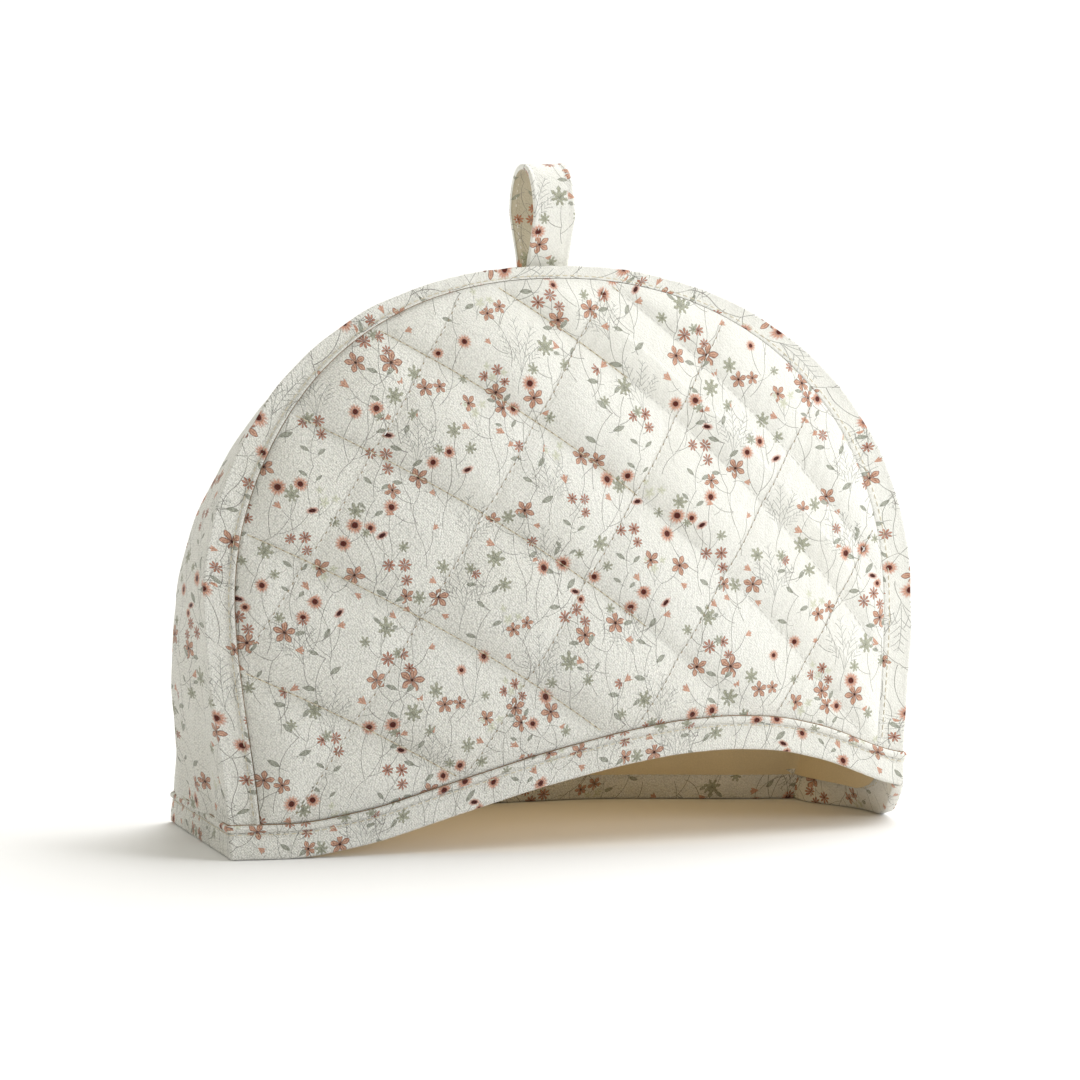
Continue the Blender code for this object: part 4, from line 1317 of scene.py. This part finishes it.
def printedCloth(name, plain, warm):
    material, tree, principled = newFinish(name)
    broad, middling, fine = grain(tree, 14.0), grain(tree, 120.0), grain(tree, 900.0, 3.0)
    cells = pebbles(tree, 1030.0, 0.65)
    # the grain, both its bumps and its painted dimple shade, is made flatter to the right and towards the
    # top, where the strong light washes it out
    across, _, up = threeParts(objectPlace(tree))
    flatterWhereLit = maths("MAXIMUM", maths("MINIMUM", across * -4.6 + (up * -3.4 + 1.24), 1.0), 0.3)
    ground = blend(tree, clamped(broad * 1.6 - 0.3), plain, warm)
    # painted shade: the dimples between the grains are painted darker, over a little random tone from the
    # fine noise
    uneven = fine * 0.14 - 0.07 + (cells * 0.56 - 0.345)
    toneAndDimpleShade = uneven * flatterWhereLit + 0.992
    # the mark
    x, y, kind = attributeParts(tree, "markPlace")
    petals, depth, lobe = attributeParts(tree, "markForm")
    away = maths("SQRT", x * x + y * y)
    turn = maths("ARCTAN2", y, x)
    wobble = grain(tree, 420.0, 1.0) * 0.26 - 0.13

    def isKind(name):
        return maths("COMPARE", kind, float(markKinds[name][0]), 0.4)

    # leaves, buds and soft heads are one round outline cut into lobes
    petal = maths("ABSOLUTE", maths("COSINE", turn * petals * 0.5)) ** 0.8
    ahead = maths("COSINE", turn)
    lean = either(isKind("bud"), clamped((ahead - 0.84) * 20.0), (ahead * 0.5 + 0.5) ** 2.2)
    reach = (1.0 - depth + depth * petal) * (1.0 - lobe + lobe * lean) + wobble
    # small leaves are pointed at both ends
    leafInside = (1.0 - x * x - maths("ABSOLUTE", y)) * 0.5 + wobble * 0.3
    roundInside = either(isKind("oval"), leafInside, reach - away)
    # open flowers and daisies are separate petals, narrow at the heart and widest near their tips
    wedge = 2 * math.pi / maths("MAXIMUM", petals, 1.0)
    fold = maths("PINGPONG", turn, wedge * 0.5)
    # a cut leaf is a hand of pointed leaflets, shorter towards its stalk
    isCut = isKind("sage")
    span = away * ((ahead * -0.24 + 0.24) * isCut + 1.0)
    aside = maths("SINE", fold) * span
    taper = 1.0 - maths("MINIMUM", span, 1.2) ** (isCut * -2.6 + 5.0)
    waist = maths("MINIMUM", span, 0.7) * 1.15 + 0.2
    # the leaflets of a cut leaf are toothed along their sides
    teeth = maths("COSINE", span * 17.0) * clamped(span * 2.2)
    teeth = teeth * isCut * 0.24 + 1.0
    width = depth * taper * waist * teeth
    petalInside = width - aside + wobble * 0.4
    isOpen = maths("LESS_THAN", kind, 2.5) + isCut
    inside = either(isOpen, petalInside, roundInside)
    fill, soft = kindRamp(tree, kind, 0)
    rim, veins = kindRamp(tree, kind, 1)
    heart, heartSize = kindRamp(tree, kind, 2)
    edge = soft * 0.55 + 0.06
    cover = clamped(inside / edge) * maths("GREATER_THAN", kind, 0.5)
    mottle = grain(tree, 700.0, 2.0) * 0.9 - 0.45
    outline = 1.0 - clamped((inside - 0.04) / (isCut * -0.05 + 0.11))
    lobeVein = clamped(petal * 9.0 - 8.0)
    petalVein = 1.0 - clamped(aside / 0.06)
    vein = either(isOpen, petalVein, lobeVein)
    vein = vein * (veins * maths("LESS_THAN", away, 0.72))
    dark = clamped(maths("MAXIMUM", outline, vein * 0.7) * (1.0 - soft) + mottle)
    petalColour = blend(tree, dark, fill, rim)
    heartCover = clamped((heartSize + wobble * 0.5 - away) / (soft * 0.16 + 0.06))
    petalColour = blend(tree, heartCover, petalColour, heart)
    thin = (1.0 - dark) * (soft * -0.1 + 0.25)
    strength = cover * maths("MAXIMUM", heartCover, 0.98 - thin)
    # fine lines
    colour = ground
    for layer, (ink, half, amount) in (("twigPlace", finish["twig"]), ("stemPlace", finish["stem"])):
        off, past, other = attributeParts(tree, layer)
        width = middling * (half * 0.9) + half * 0.55
        line = clamped((width - maths("ABSOLUTE", off)) / 0.1) * maths("LESS_THAN", past, half)
        line = maths("MAXIMUM", line, clamped((width - maths("ABSOLUTE", other)) / 0.1))
        colour = blend(tree, line * amount, colour, ink)
    colour = blend(tree, strength, colour, petalColour)
    shaded = tree.nodes.new("ShaderNodeVectorMath")
    shaded.operation = "SCALE"
    give(shaded.inputs[0], colour)
    give(shaded.inputs["Scale"], toneAndDimpleShade)
    under = bumps(tree, middling, 0.0005, 0.22)
    pebbled = bumps(tree, (cells + fine * 0.35) * flatterWhereLit, 0.00082, 1.0, under)
    finished(principled, Output(shaded.outputs[0]), pebbled, finish["roughness"], finish["sheen"])
    principled.inputs["Sheen Roughness"].default_value = 0.5
    return material


def plainFinish(name, colour, roughness, scale, depth, variation=0.10):
    # undyed cloth or thread with a fine grain
    material, tree, principled = newFinish(name)
    fine, broad = grain(tree, scale, 3.0), grain(tree, 30.0)
    darker = tuple(c * (1 - variation * 2) for c in colour)
    lighter = tuple(min(c * (1 + variation), 1.0) for c in colour)
    mixed = blend(tree, fine * 0.7 + broad * 0.3, darker, lighter)
    finished(principled, mixed, bumps(tree, fine, depth, 0.6), roughness, 0.2)
    return material


printed = printedCloth("printed_cotton", finish["ground"], finish["groundWarm"])
# painted shade: a darker, warmer copy of the printed cloth for the inside of the loop
loopShadePrinted = printedCloth("printed_cotton_loop_shade", finish["inner"], finish["innerShadeWarm"])
threadCotton = plainFinish("cream_thread", finish["thread"], 0.7, 2500.0, 0.0001)
quiltCotton = plainFinish("quilting_thread", finish["quiltThread"], 0.7, 2500.0, 0.0001)
# painted shade in the stitch holes
needleHoleShade = plainFinish("needle_hole_shade", finish["needle"], 0.9, 2500.0, 0.0001)
# painted shade for the seam grooves
seamShadeBrown = plainFinish("seam_shade_brown", finish["seam"], 0.8, 2500.0, 0.0001)
liningCotton = plainFinish("lining_cotton", finish["lining"], 0.9, 1400.0, 0.0002, 0.05)
floorPaint = plainFinish("white_floor", (0.915, 0.913, 0.912), 0.95, 3.0, 0.0001, 0.0)

printedPieces = (frontPanel, backPanel, gusset, hem, loop)
for material, pieces in (
        (printed, printedPieces), (liningCotton, (lining,)),
        (threadCotton, (loopRowStitches, frontRises, backRises)),
        (quiltCotton, (frontFalls, backFalls, ridgeStitches, hemRowStitches)),
        (needleHoleShade, (frontHoles, backHoles)), (seamShadeBrown, (frontSeamShade, backSeamShade, hemSeamShade))):
    for piece in pieces:
        piece.data.materials.append(material)
# painted shade: the faces that look into the loop's eye take the darker, warmer copy of the printed cloth
loop.data.materials.append(loopShadePrinted)
loopMiddle = Vector((0.0, loopSettings["middle"], shape["backTop"] + loopSettings["high"] * 0.45))
for face in loop.data.polygons:
    inward = loopMiddle - face.center
    inward.x = 0.0
    if face.normal.dot(inward.normalized()) > 0.35:
        face.material_index = 1


print("tea cosy: what each piece rides on")

for piece in (*printedPieces, lining, frontFalls, backFalls, frontRises, backRises, frontHoles, backHoles,
              ridgeStitches, hemRowStitches, loopRowStitches, frontSeamShade, backSeamShade, hemSeamShade):
    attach(piece, "root")
for piece, node in ((frontPanel, "front_panel"), (backPanel, "back_panel"), (gusset, "gusset"),
                    (hem, "hem_band"), (loop, "loop"), (lining, "lining")):
    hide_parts(node)


print("tea cosy: floor, light and camera")

studio = {
    # the sky's colour and brightness, and what it gains to the right, behind and above
    "sky": (1.0, 0.978, 0.882), "skyFloor": 0.42, "skyShares": (-0.195, 0.15, 0.28),
    # high, to the right
    "sun": 3.75, "sunColour": (0.985, 0.99, 1.0), "sunSoft": 80.0, "sunToward": (0.70, 0.27, 0.66),
    # size, power and colour of the soft box, which is low at the right, its place and what it points at
    "box": ((0.60, 0.60), 10.2, (0.962, 0.982, 1.0), (1.22, -1.28, 0.60), (0.05, -0.05, 0.13)),
    "glow": ((0.20, 0.03), 0.062, (1.0, 0.75, 0.40)), "glowHeight": 0.15,
    "target": (-0.0188, -0.065, 0.148), "azimuth": -18.6, "elevation": 5.78, "distance": 2.638,
    "lens": 183.33,
}

bpy.ops.object.select_all(action="DESELECT")
bpy.ops.mesh.primitive_circle_add(vertices=96, radius=250.0, fill_type="NGON", location=(0.0, 0.0, 0.0))
floor = bpy.context.object
floor.name = "studio_floor"
floor.data.materials.append(floorPaint)

world = bpy.data.worlds.new("studio_sky")
bpy.context.scene.world = world
world.use_nodes = True
sky = world.node_tree
for node in list(sky.nodes):
    sky.nodes.remove(node)
skyOut = sky.nodes.new("ShaderNodeOutputWorld")
skyLight = sky.nodes.new("ShaderNodeBackground")
skyLight.inputs["Color"].default_value = (*studio["sky"], 1.0)
toward = threeParts(Output(sky.nodes.new("ShaderNodeTexCoord").outputs["Generated"]))
skyBright = studio["skyFloor"]
for part, share in zip(toward, studio["skyShares"]):
    skyBright = part * share + skyBright
give(skyLight.inputs["Strength"], maths("MAXIMUM", skyBright, 0.1))
sky.links.new(skyLight.outputs["Background"], skyOut.inputs["Surface"])


def areaLight(name, size, energy, colour, place, toward=None):
    data = bpy.data.lights.new(name, "AREA")
    data.shape = "RECTANGLE"
    data.size, data.size_y = size
    data.energy = energy
    data.color = colour
    made = placed(name, data)
    made.location = place
    if toward is not None:
        made.rotation_mode = "QUATERNION"
        made.rotation_quaternion = (Vector(place) - Vector(toward)).to_track_quat("Z", "Y")
    made.visible_camera = False


# warm light that comes through the cloth into the inside
glowHeight = studio["glowHeight"]
glowPlace = (0.0, float(frontY(glowHeight) + depthAt(glowHeight) / 2), glowHeight)
areaLight("inside_glow", *studio["glow"], glowPlace)
areaLight("soft_box", *studio["box"])

sunData = bpy.data.lights.new("studio_key", "SUN")
sunData.energy = studio["sun"]
sunData.color = studio["sunColour"]
sunData.angle = math.radians(studio["sunSoft"])
sun = placed("studio_key", sunData)
sun.rotation_mode = "QUATERNION"
sun.rotation_quaternion = Vector(studio["sunToward"]).to_track_quat("Z", "Y")

turn, lift = math.radians(studio["azimuth"]), math.radians(studio["elevation"])
backward = Vector((math.sin(turn) * math.cos(lift), -math.cos(turn) * math.cos(lift), math.sin(lift)))
cameraData = bpy.data.cameras.new("studio_camera")
cameraData.lens = studio["lens"]
cameraData.sensor_width = 36.0
cameraData.clip_start = 0.05
cameraData.clip_end = 500.0
camera = placed("studio_camera", cameraData)
camera.location = Vector(studio["target"]) + backward * studio["distance"]
camera.rotation_mode = "QUATERNION"
camera.rotation_quaternion = backward.to_track_quat("Z", "Y")
bpy.context.scene.camera = camera
bpy.context.scene.view_settings.view_transform = "Standard"
bpy.context.scene.view_settings.look = "None"
bpy.context.scene.view_settings.exposure = 0.0
bpy.context.scene.view_settings.gamma = 1.0
